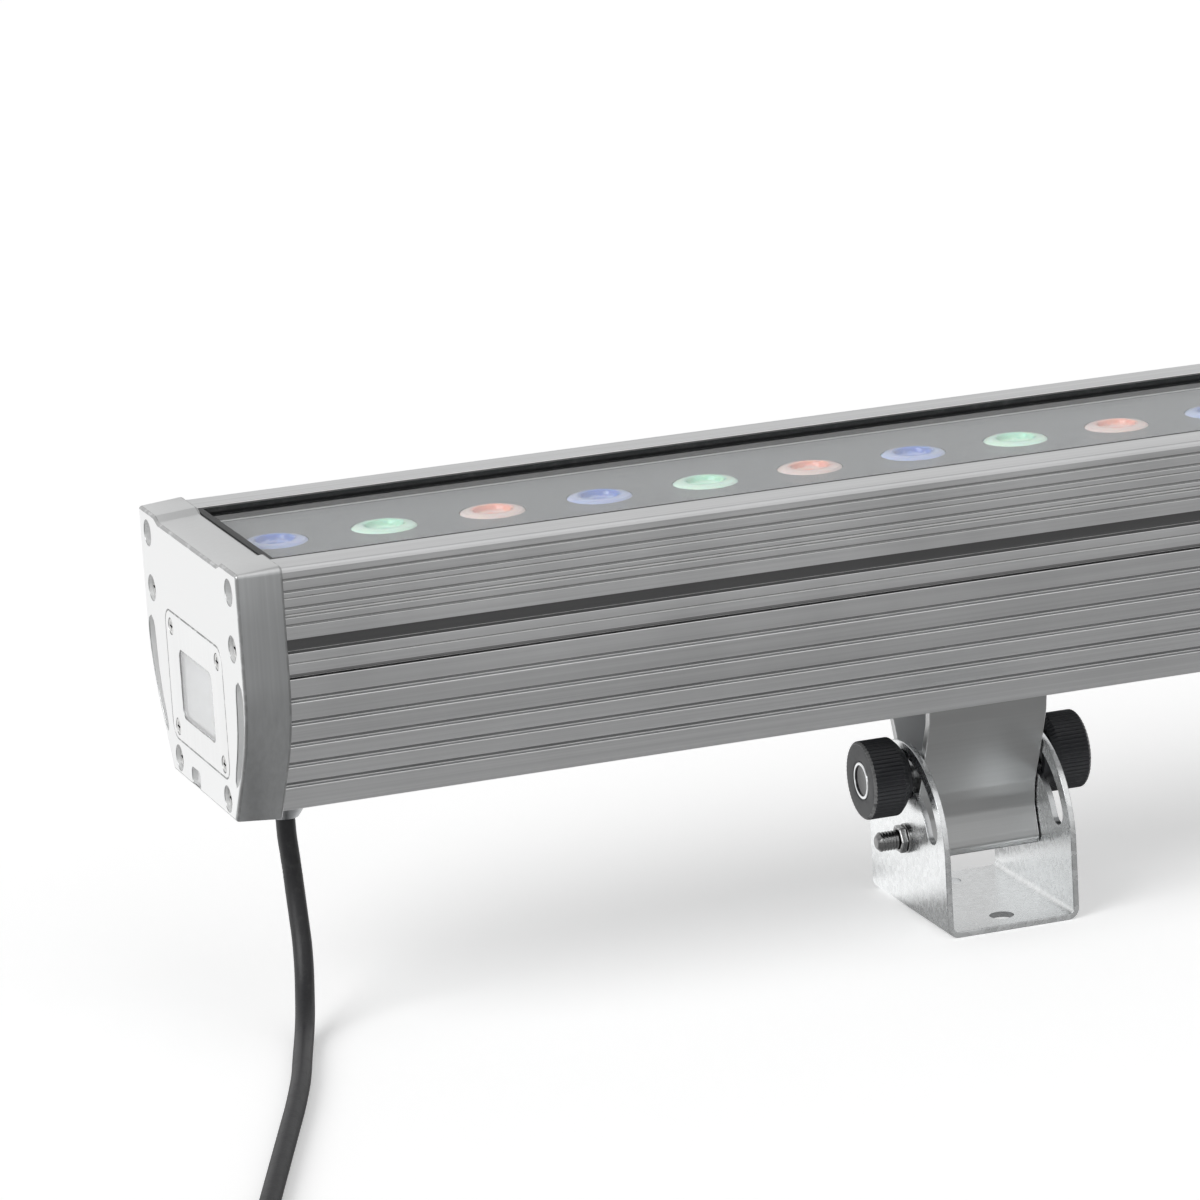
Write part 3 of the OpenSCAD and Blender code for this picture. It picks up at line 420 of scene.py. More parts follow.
class Tree:
    """Short calls that add nodes to one material, world or group."""

    def __init__(self, tree: bpy.types.NodeTree) -> None:
        """Keeps the tree, emptied."""
        self.tree = tree
        tree.nodes.clear()

    def node(self, kind: str, inputs: dict | None = None, **settings: object) -> bpy.types.Node:
        """Adds a node.

        Args:
            kind: Its type, without the leading ShaderNode.
            inputs: Values or sockets for its inputs, by name or number.
            settings: Its own properties.

        Returns:
            The node.
        """
        made = self.tree.nodes.new(kind if kind.startswith("Node") else "ShaderNode" + kind)
        for key, value in settings.items():
            setattr(made, key, value)
        for key, value in (inputs or {}).items():
            if isinstance(value, bpy.types.NodeSocket):
                self.tree.links.new(value, made.inputs[key])
            else:
                made.inputs[key].default_value = value
        return made

    def math(self, operation: str, first: object, second: object = 0.0) -> bpy.types.NodeSocket:
        """Adds a Math node and gives its output."""
        return self.node("Math", {0: first, 1: second}, operation=operation).outputs[0]

    def blend(self, share: object, first: object, second: object, mode: str = "MIX") -> bpy.types.NodeSocket:
        """Mixes two colours and gives the result."""
        mixed = self.node("Mix", {0: share, 6: first, 7: second}, data_type="RGBA", blend_type=mode)
        return mixed.outputs[2]

    def spread(self, value: object, low: float, high: float, to_low: float,
               to_high: float) -> bpy.types.NodeSocket:
        """Maps a value from one range to another, held at both ends."""
        inputs = {"Value": value, "From Min": low, "From Max": high, "To Min": to_low, "To Max": to_high}
        return self.node("MapRange", inputs).outputs[0]


def rgba(colour: Colour, scale: float = 1.0) -> tuple[float, float, float, float]:
    """Gives a colour with its alpha, made lighter or darker."""
    return (colour[0] * scale, colour[1] * scale, colour[2] * scale, 1.0)


class Effects:
    """Shader node groups that several finishes share; each puts out values that change over the surface."""

    def __init__(self) -> None:
        """Builds every group once."""
        number, vector = "NodeSocketFloat", "NodeSocketVector"
        self.lines = self._group("fine_lines", {"Stretch": vector}, ["Lines", "Patches"], self._lines)
        self.edge_wear_and_light = self._group("edge_wear_and_painted_light", {"Amount": number}, ["Worn", "Pit"], self._marks_and_painted_light)
        self.speckle = self._group("speckle", {"Scale": number}, ["Speckle", "Dust"], self._speckle)
        self.spangle = self._group("spangle", {"Scale": number}, ["Crystal", "Seam"], self._spangle)

    @staticmethod
    def _group(name: str, inputs: dict[str, str], outputs: Sequence[str],
               fill: Callable[[Tree, bpy.types.Node, bpy.types.Node], None]) -> bpy.types.NodeTree:
        """Makes a group with named inputs and outputs and lets fill add what is between them."""
        group = bpy.data.node_groups.new(name, "ShaderNodeTree")
        for label, kind in {"Vector": "NodeSocketVector", **inputs}.items():
            group.interface.new_socket(label, in_out="INPUT", socket_type=kind)
        for label in outputs:
            group.interface.new_socket(label, in_out="OUTPUT", socket_type="NodeSocketFloat")
        tree = Tree(group)
        fill(tree, tree.node("NodeGroupInput"), tree.node("NodeGroupOutput"))
        return group

    @staticmethod
    def _lines(tree: Tree, given: bpy.types.Node, out: bpy.types.Node) -> None:
        """Noise that is stretched along one axis, and soft patches a few centimetres wide."""
        stretched = tree.node("VectorMath", {0: given.outputs["Vector"], 1: given.outputs["Stretch"]},
                              operation="MULTIPLY").outputs[0]
        noise = tree.node("TexNoise", {"Vector": stretched, "Scale": 1.0, "Detail": 4.0, "Roughness": 0.62})
        cloud = tree.node("TexNoise", {"Vector": given.outputs["Vector"], "Scale": 34.0, "Detail": 4.0})
        tree.tree.links.new(tree.spread(noise.outputs[0], 0.3, 0.7, 0.0, 1.0), out.inputs["Lines"])
        tree.tree.links.new(tree.spread(cloud.outputs[0], 0.3, 0.7, 0.0, 1.0), out.inputs["Patches"])

    @staticmethod
    def _marks_and_painted_light(tree: Tree, given: bpy.types.Node, out: bpy.types.Node) -> None:
        """Gives the mesh's edge value: broken up by noise at an edge, and whole in a pit. The edge mark is
        partly wear
        and partly painted light: a painted highlight where a finish gives edges a pale colour, painted shade
        where it gives them a dark one. Most finishes turn the pit mark into painted shade in recesses.
        """
        edge = tree.node("Attribute", attribute_name="edge").outputs["Fac"]
        noise = tree.node("TexNoise", {"Vector": given.outputs["Vector"], "Scale": 420.0, "Detail": 3.0})
        broken = tree.spread(noise.outputs[0], 0.36, 0.52, 0.35, 1.0)
        wear_and_light_mark = tree.math("MULTIPLY", tree.math("MAXIMUM", edge, 0.0), broken)
        tree.tree.links.new(tree.math("MULTIPLY", wear_and_light_mark, given.outputs["Amount"]), out.inputs["Worn"])
        tree.tree.links.new(tree.math("MAXIMUM", tree.math("MULTIPLY", edge, -1.0), 0.0), out.inputs["Pit"])

    @staticmethod
    def _speckle(tree: Tree, given: bpy.types.Node, out: bpy.types.Node) -> None:
        """Fine even noise for moulded and cast skins, and sparse dust."""
        where = given.outputs["Vector"]
        fine = tree.node("TexNoise", {"Vector": where, "Scale": given.outputs["Scale"], "Detail": 2.0})
        dust = tree.node("TexNoise", {"Vector": where, "Scale": 260.0, "Detail": 6.0, "Roughness": 0.7})
        tree.tree.links.new(fine.outputs[0], out.inputs["Speckle"])
        tree.tree.links.new(tree.spread(dust.outputs[0], 0.52, 0.75, 0.0, 1.0), out.inputs["Dust"])

    @staticmethod
    def _spangle(tree: Tree, given: bpy.types.Node, out: bpy.types.Node) -> None:
        """Zinc crystals: one random value for each cell, and the thin seams between cells."""
        inputs = {"Vector": given.outputs["Vector"], "Scale": given.outputs["Scale"], "Randomness": 1.0}
        cells = tree.node("TexVoronoi", inputs, feature="F1")
        seams = tree.node("TexVoronoi", inputs, feature="DISTANCE_TO_EDGE")
        value = tree.node("SeparateColor", {0: cells.outputs["Color"]}).outputs[0]
        tree.tree.links.new(value, out.inputs["Crystal"])
        tree.tree.links.new(tree.spread(seams.outputs[0], 0.0, 0.12, 1.0, 0.0), out.inputs["Seam"])


EFFECTS = Effects()


@dataclass(frozen=True)
class Finish:
    """What every finish has: a name and the start of its material."""

    name: str

    def begin(self) -> tuple[bpy.types.Material, Tree, bpy.types.NodeSocket]:
        """Makes an empty material and gives it with its tree and its Object coordinates."""
        material = bpy.data.materials.new(self.name)
        material.use_nodes = True
        tree = Tree(material.node_tree)
        return material, tree, tree.node("TexCoord").outputs["Object"]

    @staticmethod
    def end(tree: Tree, shader: bpy.types.NodeSocket) -> None:
        """Joins a shader to the material's output."""
        tree.node("OutputMaterial", {"Surface": shader})


@dataclass(frozen=True)
class Metal(Finish):
    """Bare or plated metal with fine lines and soft patches. Its rounded edges take an edge colour, partly
    wear
    and partly painted light: a painted highlight where that colour is pale, painted shade where it is dark.
    Its pits may take a pit colour and be duller; a dark pit colour is painted shade, except on the knob
    insert, whose dark centre is its own colour. Its upright end faces and level tops may be painted paler, as
    painted light."""

    colour: Colour = (0.6, 0.6, 0.6)
    roughness: float = 0.34
    grain: Grain = Grain.ALONG_X
    lines: float = 0.12
    patches: float = 0.06
    edge_wear_and_light: float = 0.5
    edge_wear_and_light_colour: Colour = (0.9, 0.9, 0.9)
    pit: float = 0.0
    pit_colour: Colour = (0.06, 0.06, 0.06)
    dull: float = 0.0
    bump: float = 0.04
    painted_lit_faces: bool = False
    painted_lit_colour: Colour = (0.95, 0.95, 0.95)
    top: float = 0.0

    def material(self) -> bpy.types.Material:
        """Builds the metal.

        Returns:
            The material.
        """
        material, tree, where = self.begin()
        lines = tree.node("Group", {"Vector": where, "Stretch": self.grain.value}, node_tree=EFFECTS.lines)
        edge_wear_and_light = tree.node("Group", {"Vector": where, "Amount": self.edge_wear_and_light}, node_tree=EFFECTS.edge_wear_and_light)
        tone = tree.math("ADD", tree.spread(lines.outputs["Lines"], 0, 1, 1 - self.lines, 1 + self.lines),
                         tree.spread(lines.outputs["Patches"], 0, 1, -self.patches, self.patches))
        colour = tree.blend(1.0, rgba(self.colour), tone, "MULTIPLY")
        # Painted light: end faces and level tops are painted paler than the rest, for the light that falls on
        # them.
        if self.painted_lit_faces:
            normal = tree.node("SeparateXYZ", {0: tree.node("NewGeometry").outputs["Normal"]}).outputs
            end = tree.math("GREATER_THAN", tree.math("ABSOLUTE", normal[0]), 0.94)
            level = tree.spread(normal[2], 0.3, 0.8, 0.0, self.top)
            colour = tree.blend(tree.math("MAXIMUM", end, level), colour, rgba(self.painted_lit_colour))
        # Pit colour: painted shade where it is dark; a pale, dull tone on the cap and arm; the insert
        # centre's own colour.
        pit = tree.math("MULTIPLY", edge_wear_and_light.outputs["Pit"], self.pit)
        colour = tree.blend(pit, colour, rgba(self.pit_colour))
        # Edge colour: partly wear, partly painted light on rounded edges, a highlight where pale and shade
        # where dark.
        colour = tree.blend(edge_wear_and_light.outputs["Worn"], colour, rgba(self.edge_wear_and_light_colour))
        rough = tree.math("ADD", self.roughness - 0.05, tree.math("MULTIPLY", lines.outputs["Patches"], 0.1))
        bumps = tree.node("Bump", {"Strength": self.bump, "Distance": 0.0004,
                                   "Height": lines.outputs["Lines"]})
        metallic = tree.spread(edge_wear_and_light.outputs["Pit"], 0, 1, 1.0, 1.0 - self.dull) if self.dull else 1.0
        shader = tree.node("BsdfPrincipled", {"Base Color": colour, "Metallic": metallic, "Roughness": rough,
                                              "Normal": bumps.outputs[0]})
        self.end(tree, shader.outputs[0])
        return material


@dataclass(frozen=True)
class Zinc(Finish):
    """Bright zinc on sheet steel, with fine crystals that differ a little in tone and gloss."""

    colour: Colour = (0.93, 0.945, 0.95)
    roughness: float = 0.26
    scale: float = 900.0

    def material(self) -> bpy.types.Material:
        """Builds the zinc.

        Returns:
            The material.
        """
        material, tree, where = self.begin()
        spangle = tree.node("Group", {"Vector": where, "Scale": self.scale}, node_tree=EFFECTS.spangle)
        edge_wear_and_light = tree.node("Group", {"Vector": where, "Amount": 0.55}, node_tree=EFFECTS.edge_wear_and_light)
        lines = tree.node("Group", {"Vector": where, "Stretch": Grain.CAST.value}, node_tree=EFFECTS.lines)
        tone = tree.math("ADD", tree.spread(spangle.outputs["Crystal"], 0, 1, 0.86, 1.05),
                         tree.spread(lines.outputs["Patches"], 0, 1, -0.03, 0.03))
        colour = tree.blend(1.0, rgba(self.colour), tone, "MULTIPLY")
        seam = tree.math("MULTIPLY", spangle.outputs["Seam"], 0.05)
        colour = tree.blend(seam, colour, rgba(self.colour, 0.55))
        # Darker rounded edges, partly wear and partly painted shade; pits get painted shade.
        colour = tree.blend(edge_wear_and_light.outputs["Worn"], colour, rgba((0.42, 0.43, 0.44)))
        pit = tree.math("MULTIPLY", edge_wear_and_light.outputs["Pit"], 0.5)
        colour = tree.blend(pit, colour, rgba((0.3, 0.31, 0.32)))
        rough = tree.spread(spangle.outputs["Crystal"], 0, 1, self.roughness - 0.04, self.roughness + 0.06)
        bumps = tree.node("Bump", {"Strength": 0.02, "Distance": 0.0002,
                                   "Height": spangle.outputs["Crystal"]})
        shader = tree.node("BsdfPrincipled", {"Base Color": colour, "Metallic": 1.0, "Roughness": rough,
                                              "Normal": bumps.outputs[0]})
        self.end(tree, shader.outputs[0])
        return material


@dataclass(frozen=True)
class Moulded(Finish):
    """Plastic, rubber or a lacquered board: a grained skin with a little dust, and paler edges that are
    partly rubbed and partly painted highlight.
    """

    colour: Colour = (0.03, 0.03, 0.033)
    roughness: float = 0.45
    scale: float = 2600.0
    bump: float = 0.15
    dust: float = 0.05
    rubbed_and_lit: float = 0.15
    coat: float = 0.0

    def material(self) -> bpy.types.Material:
        """Builds the plastic.

        Returns:
            The material.
        """
        material, tree, where = self.begin()
        speckle = tree.node("Group", {"Vector": where, "Scale": self.scale}, node_tree=EFFECTS.speckle)
        edge_wear_and_light = tree.node("Group", {"Vector": where, "Amount": self.rubbed_and_lit}, node_tree=EFFECTS.edge_wear_and_light)
        tone = tree.spread(speckle.outputs["Speckle"], 0.3, 0.7, 0.88, 1.12)
        colour = tree.blend(1.0, rgba(self.colour), tone, "MULTIPLY")
        dust = tree.math("MULTIPLY", speckle.outputs["Dust"], self.dust)
        colour = tree.blend(dust, colour, rgba((0.6, 0.6, 0.58)))
        # Paler edges: partly rubbing, partly painted highlight.
        colour = tree.blend(edge_wear_and_light.outputs["Worn"], colour, rgba((0.5, 0.5, 0.5)))
        rough = tree.spread(speckle.outputs["Dust"], 0, 1, self.roughness, min(self.roughness + 0.2, 1.0))
        bumps = tree.node("Bump", {"Strength": self.bump, "Distance": 0.0002,
                                   "Height": speckle.outputs["Speckle"]})
        shader = tree.node("BsdfPrincipled", {"Base Color": colour, "Roughness": rough,
                                              "Coat Weight": self.coat, "Normal": bumps.outputs[0]})
        self.end(tree, shader.outputs[0])
        return material


@dataclass(frozen=True)
class Clear(Finish):
    """Clear glass that lets the lamps' light and shadows through, with faint smears in its gloss."""

    colour: Colour = (0.97, 0.985, 0.98)
    index: float = 1.2
    smear: float = 0.04
    mist: float = 0.0

    def material(self) -> bpy.types.Material:
        """Builds the glass.

        Returns:
            The material.
        """
        material, tree, where = self.begin()
        speckle = tree.node("Group", {"Vector": where, "Scale": 40.0}, node_tree=EFFECTS.speckle)
        rough = tree.spread(speckle.outputs["Speckle"], 0.45, 0.7, 0.01, self.smear)
        glass = tree.node("BsdfPrincipled", {"Base Color": rgba(self.colour), "Metallic": 0.0,
                                             "Roughness": rough, "IOR": self.index,
                                             "Transmission Weight": 1.0 - self.mist})
        passing = tree.node("BsdfTransparent", {"Color": rgba(self.colour)})
        shadow = tree.node("LightPath").outputs["Is Shadow Ray"]
        mixed = tree.node("MixShader", {0: shadow, 1: glass.outputs[0], 2: passing.outputs[0]})
        self.end(tree, mixed.outputs[0])
        return material


@dataclass(frozen=True)
class LensTint(Finish):
    """Tinted clear plastic: a pale rim, and a pale ring that is a painted highlight, on a deeper colour,
    under a polished skin.
    """

    deep: Colour = (0.2, 0.3, 0.7)
    pale: Colour = (0.6, 0.65, 0.8)
    highlight_ring_at: float = 0.44

    def material(self) -> bpy.types.Material:
        """Builds the lens; the tone value is 0 in the middle and 1 at the rim.

        Returns:
            The material.
        """
        material, tree, where = self.begin()
        tone = tree.node("Attribute", attribute_name="tone").outputs["Fac"]
        speckle = tree.node("Group", {"Vector": where, "Scale": 900.0}, node_tree=EFFECTS.speckle)
        wavy = tree.math("ADD", tone, tree.spread(speckle.outputs["Speckle"], 0.3, 0.7, -0.03, 0.03))
        # A pale ring near the dish's edge is a painted highlight.
        from_ring = tree.math("ABSOLUTE", tree.math("SUBTRACT", wavy, self.highlight_ring_at))
        ring = tree.spread(from_ring, 0.03, 0.09, 0.8, 0.0)
        pale_rim_and_highlight = tree.math("MAXIMUM", ring, tree.spread(wavy, 0.6, 0.74, 0.0, 1.0))
        colour = tree.blend(pale_rim_and_highlight, rgba(self.deep), rgba(self.pale))
        rough = tree.spread(speckle.outputs["Speckle"], 0.3, 0.7, 0.06, 0.11)
        shader = tree.node("BsdfPrincipled", {"Base Color": colour, "Roughness": rough, "IOR": 1.5,
                                              "Coat Weight": 0.4, "Coat Roughness": 0.03,
                                              "Subsurface Weight": 0.25, "Subsurface Scale": 0.002})
        self.end(tree, shader.outputs[0])
        return material


class Finishes:
    """Every material of the object, by the record's slot."""

    def __init__(self) -> None:
        """Builds them all."""
        self.by_slot: dict[str, bpy.types.Material] = {f.name: f.material() for f in self.kinds()}

    @staticmethod
    def kinds() -> list[Finish]:
        """Lists the finishes, one for each slot."""
        return [
            # Extrusion: its pale edge colour is partly wear and partly painted highlight; its dark pit colour
            # is painted shade in the grooves.
            Metal("extrusion", colour=(0.8, 0.805, 0.81), roughness=0.34, lines=0.08, patches=0.04, edge_wear_and_light=0.6,
                  edge_wear_and_light_colour=(0.95, 0.95, 0.94), bump=0.04, pit=0.85),
            # End cap: end faces and level tops are painted pale as painted light, its dark edge colour is
            # painted shade on the rounded edges, and its pits take a pale, dull tone.
            Metal("end_cap", colour=(0.56, 0.57, 0.575), roughness=0.36, grain=Grain.ALONG_Z, lines=0.07,
                  patches=0.06, edge_wear_and_light=0.55, edge_wear_and_light_colour=(0.3, 0.3, 0.3), pit=0.9,
                  pit_colour=(0.78, 0.785, 0.785), dull=0.85, painted_lit_faces=True, painted_lit_colour=(0.97, 0.975, 0.975),
                  top=0.7),
            # Cover: its dark edge colour is painted shade on the rounded edges; its pits get painted shade.
            Metal("cover_plate", colour=(0.97, 0.975, 0.975), roughness=0.33, grain=Grain.ALONG_Z, lines=0.02,
                  patches=0.02, edge_wear_and_light=0.7, edge_wear_and_light_colour=(0.2, 0.2, 0.2), pit=0.4),
            Moulded("seal_rubber", colour=(0.028, 0.03, 0.031), roughness=0.5, dust=0.08),
            # Screws and dark steel: their pits, such as the cross recesses, get painted shade.
            Metal("bright_screw", colour=(0.7, 0.7, 0.69), roughness=0.28, grain=Grain.CAST, pit=0.9,
                  edge_wear_and_light=0.4),
            Metal("dark_steel", colour=(0.26, 0.26, 0.26), roughness=0.26, grain=Grain.CAST, patches=0.15,
                  pit=0.6, edge_wear_and_light=0.5),
            Clear("clear_pane"),
            Clear("misted_pane", colour=(0.97, 0.975, 0.98), mist=0.5),
            Moulded("circuit_board", colour=(0.02, 0.12, 0.05), roughness=0.35, coat=0.3),
            Moulded("led_board", colour=(0.8, 0.81, 0.8), roughness=0.4, scale=800.0),
            Moulded("display", colour=(0.33, 0.35, 0.37), roughness=0.3, scale=500.0),
            Moulded("black_plastic", colour=(0.025, 0.025, 0.028)),
            Moulded("button_cap", colour=(0.4, 0.41, 0.42)),
            Moulded("lens_plate", colour=(0.14, 0.144, 0.154), roughness=0.5, scale=1800.0, bump=0.05,
                    dust=0.03),
            LensTint("lens_blue", deep=(0.08, 0.17, 0.55), pale=(0.4, 0.46, 0.74)),
            LensTint("lens_green", deep=(0.4, 0.75, 0.57), pale=(0.68, 0.92, 0.77)),
            LensTint("lens_red", deep=(0.85, 0.36, 0.28), pale=(0.78, 0.6, 0.57)),
            Moulded("led_chip", colour=(0.8, 0.7, 0.35), roughness=0.3),
            # Arm: its white edge colour is partly wear and partly painted highlight; its pits take a pale,
            # dull tone.
            Metal("arm", colour=(0.5, 0.505, 0.505), roughness=0.4, lines=0.03, patches=0.03, edge_wear_and_light=0.8,
                  edge_wear_and_light_colour=(0.97, 0.97, 0.97), pit=0.9, pit_colour=(0.8, 0.81, 0.82), dull=0.8, bump=0.02),
            Zinc("zinc_sheet"),
            Moulded("knob_plastic", colour=(0.026, 0.028, 0.032), roughness=0.45, bump=0.2, rubbed_and_lit=0.4),
            Metal("chromed_insert", colour=(0.86, 0.87, 0.88), roughness=0.1, grain=Grain.CAST, lines=0.02,
                  patches=0.03, edge_wear_and_light=0.2, pit=1.0, pit_colour=(0.03, 0.031, 0.035), dull=1.0),
            Metal("gland_metal", colour=(0.4, 0.41, 0.42), roughness=0.3, grain=Grain.CAST),
            Moulded("cord_jacket", colour=(0.016, 0.016, 0.018), roughness=0.46, scale=1600.0, bump=0.2),
            Moulded("tie_strap", colour=(0.05, 0.05, 0.055)),
            Moulded("connector_plastic", colour=(0.02, 0.02, 0.022)),
            Metal("contact_pin", colour=(0.85, 0.65, 0.28), roughness=0.2, grain=Grain.CAST),
        ]

    def add(self, shell: Shell, name: str, slot: str, body: str, *nodes: str, look: str = "",
            sharp: float = 40.0) -> bpy.types.Object:
        """Builds a shell and dresses the piece.

        Args:
            shell: The piece's surfaces.
            name: The piece's name.
            slot: The record's slot.
            body: The CAD body that it rides on.
            nodes: The CAD nodes that it stands for.
            look: The finish, where it isn't the slot's own.
            sharp: The angle in degrees above which an edge stays sharp.

        Returns:
            The piece.
        """
        return self.dress(shell.build(name, self.by_slot[look or slot], sharp), slot, body, *nodes)

    def dress(self, piece: bpy.types.Object, slot: str, body: str, *nodes: str) -> bpy.types.Object:
        """Sets a new piece on its body and lets it stand for its CAD nodes.

        Args:
            piece: The piece, finished and in place.
            slot: Not used.
            body: The CAD body that it rides on.
            nodes: The CAD nodes that it stands for.

        Returns:
            The piece.
        """
        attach(piece, body)
        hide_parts(*nodes)
        log.info("%s: %d faces for %s", piece.name, len(piece.data.polygons), ", ".join(nodes))
        return piece


@dataclass
class Bar:
    """Sizes that several sub-assemblies of the bar share."""

    x_end: float = 503.25
    cap_t: float = 11.3
    half_w: float = 43.3
    cap_h: float = 65.0
    body_d: float = 63.1
    top_z: float = 122.3
    reveal: float = 1.3
    rim_d: float = 0.8
    bend_d: float = 28.0
    bend_r: float = 40.0
    flare: float = 31.6
    window_y: float = 31.4
    glass_d: float = 2.1
    glass_t: float = 3.0
    bracket_x: float = 305.25
    pivot_h: float = 20.0

    @property
    def inner_x(self) -> float:
        """Where the extrusion meets the end caps."""
        return self.x_end - self.cap_t

    def side_y(self, depth: np.ndarray | float, gap: float = 0.0) -> np.ndarray:
        """Gives half the width at a depth, for an outline drawn in by a gap: straight down to the bend, then
        along a circle, then along that circle's tangent.

        Args:
            depth: Depths under the shoulders.
            gap: How far the outline is drawn in.

        Returns:
            Half the width at each depth.
        """
        deep = np.asarray(depth, float)
        slope = math.radians(self.flare)
        radius = self.bend_r - gap
        middle = self.half_w - self.bend_r
        arc = middle + np.sqrt(np.maximum(radius**2 - np.maximum(deep - self.bend_d, 0) ** 2, 0))
        straight = middle + (radius - (deep - self.bend_d) * math.sin(slope)) / math.cos(slope)
        return np.where(deep <= self.bend_d + radius * math.sin(slope), arc, straight)


def mirrored(right: Sequence[Sequence[float]]) -> np.ndarray:
    """Adds the mirror image of the right half of an outline, in reverse order."""
    half = np.asarray(right, float)
    return np.vstack([half, half[::-1] * (-1, 1)])


@dataclass
class Housing:
    """The finned extrusion: one outline with its grooves and fins, carried along the bar."""

    bar: Bar
    grooves: tuple[tuple[float, float, float], ...] = (
        (3.35, 0.65, 0.5), (6.2, 0.6, 0.7), (7.95, 0.3, 0.35), (10.25, 0.6, 0.7), (11.85, 0.3, 0.35),
        (12.55, 0.3, 0.35), (14.35, 0.6, 0.7), (18.1, 3.35, 2.7), (23.65, 0.3, 0.35), (26.4, 0.9, 0.8))
    ledge_top: float = 27.3
    ledge_w: float = 1.2
    foot_band: float = 6.8
    ledge_count: int = 6
    undercut: float = 1.1
    rim_round: float = 2.0
    seat_d: float = 6.1
    chamber_y: float = 27.5
    web_d: float = 20.5
    web_t: float = 4.0
    wall: float = 3.2
    floor_t: float = 3.0
    pad_y: float = 9.0
    pad_t: float = 9.5

    def outline(self) -> np.ndarray:
        """Gives the right half's corners from the window down to the foot.

        Returns:
            Each corner's Y, height and radius, and the edge value of the side after it: below zero in a
            groove and on the face under each ledge, where the finish paints shade.
        """
        bar = self.bar
        side = bar.half_w - bar.reveal
        fine, crisp = 0.12, 0.06
        rows = [(self.chamber_y, -self.web_d, 0.4, 0), (self.chamber_y, -self.seat_d, 0.2, 0),
                (bar.window_y, -self.seat_d, 0.2, 0), (bar.window_y, -bar.rim_d, 0.3, 0),
                (side, -bar.rim_d, self.rim_round, 0)]
        for top, height, cut in self.grooves:
            # Groove sides take the pit mark for painted shade, deepest in the wide slot.
            groove_shade = 1.0 if cut > 2 else 0.65
            rows += [(side, -top, fine, -groove_shade), (side - cut, -top, crisp, -groove_shade),
                     (side - cut, -top - height, crisp, -0.5 * groove_shade), (side, -top - height, fine, 0)]
        pitch = (bar.body_d - self.foot_band - self.ledge_top) / (self.ledge_count - 1)
        rows.append((side, -self.ledge_top, 0.25, 0))
        for i in range(self.ledge_count):
            top = self.ledge_top + i * pitch
            last = i == self.ledge_count - 1
            foot = bar.body_d if last else top + pitch - self.undercut
            low = bar.body_d if last else top + pitch
            y_top, y_low = float(bar.side_y(top, bar.reveal)), float(bar.side_y(low, bar.reveal))
            # The face under each ledge takes the pit mark for painted shade.
            rows += [(y_top - self.ledge_w, -top, 0.1, 0), (y_top, -top - 0.35, 0.2, 0),
                     (y_low, -foot, 0.25, -0.65)]
        return np.array(rows, float)

    def chamber(self) -> np.ndarray:
        """Gives the outline of the hollow under the lamps, with the floor's pad standing in it."""
        bar = self.bar
        gap = bar.reveal + self.wall
        top, bottom = self.web_d + self.web_t, bar.body_d - self.floor_t
        down = np.linspace(bar.bend_d, bottom, 9)
        side = np.column_stack([bar.side_y(down, gap), -down])
        right = np.vstack([[(bar.half_w - gap, -top)], side, [(self.pad_y, -bottom)],
                           [(self.pad_y, self.pad_t - bar.body_d)]])
        return mirrored(right)

    def build(self, finishes: Finishes) -> None:
        """Makes the extrusion: every side is a strip between the outline at both ends.

        Args:
            finishes: The object's materials.
        """
        bar = self.bar
        steps = 3
        right = self.outline()[::-1]
        table = np.vstack([right, right[::-1] * (-1, 1, 1, 1)])
        loop = rounded(table[:, :2], table[:, 2], steps)
        sides = np.concatenate([right[1:, 3], [0], right[1:, 3][::-1], [0]])
        # Rounds under 1 mm take the edge mark: partly wear, partly painted highlight.
        wear_and_light_mark = np.where(table[:, 2:3] < 1, 1.0, 0.0) * np.ones(steps)
        values = np.column_stack([wear_and_light_mark, sides]).ravel()
        along = np.array([-bar.inner_x, -bar.inner_x + 40, 0, bar.inner_x - 40, bar.inner_x])
        chamber = widdershins(self.chamber())
        shell = Shell()
        for outline, edge in ((loop, values), (chamber, np.zeros(len(chamber)))):
            rings = np.stack([facing_x(x, 1, bar.top_z)(outline, 0.0) for x in along])
            edge = np.tile(edge, len(along) - 1)
            shell.add(rings, grid_quads(*rings.shape[:2]), edge, edge > 0.5)
        for x in (-bar.inner_x, bar.inner_x):
            at = facing_x(x, 1, bar.top_z)
            shell.fill([at(loop, 0.0), at(chamber, 0.0)])
        finishes.add(shell, "extrusion_body", "extrusion", "bar", "housing")


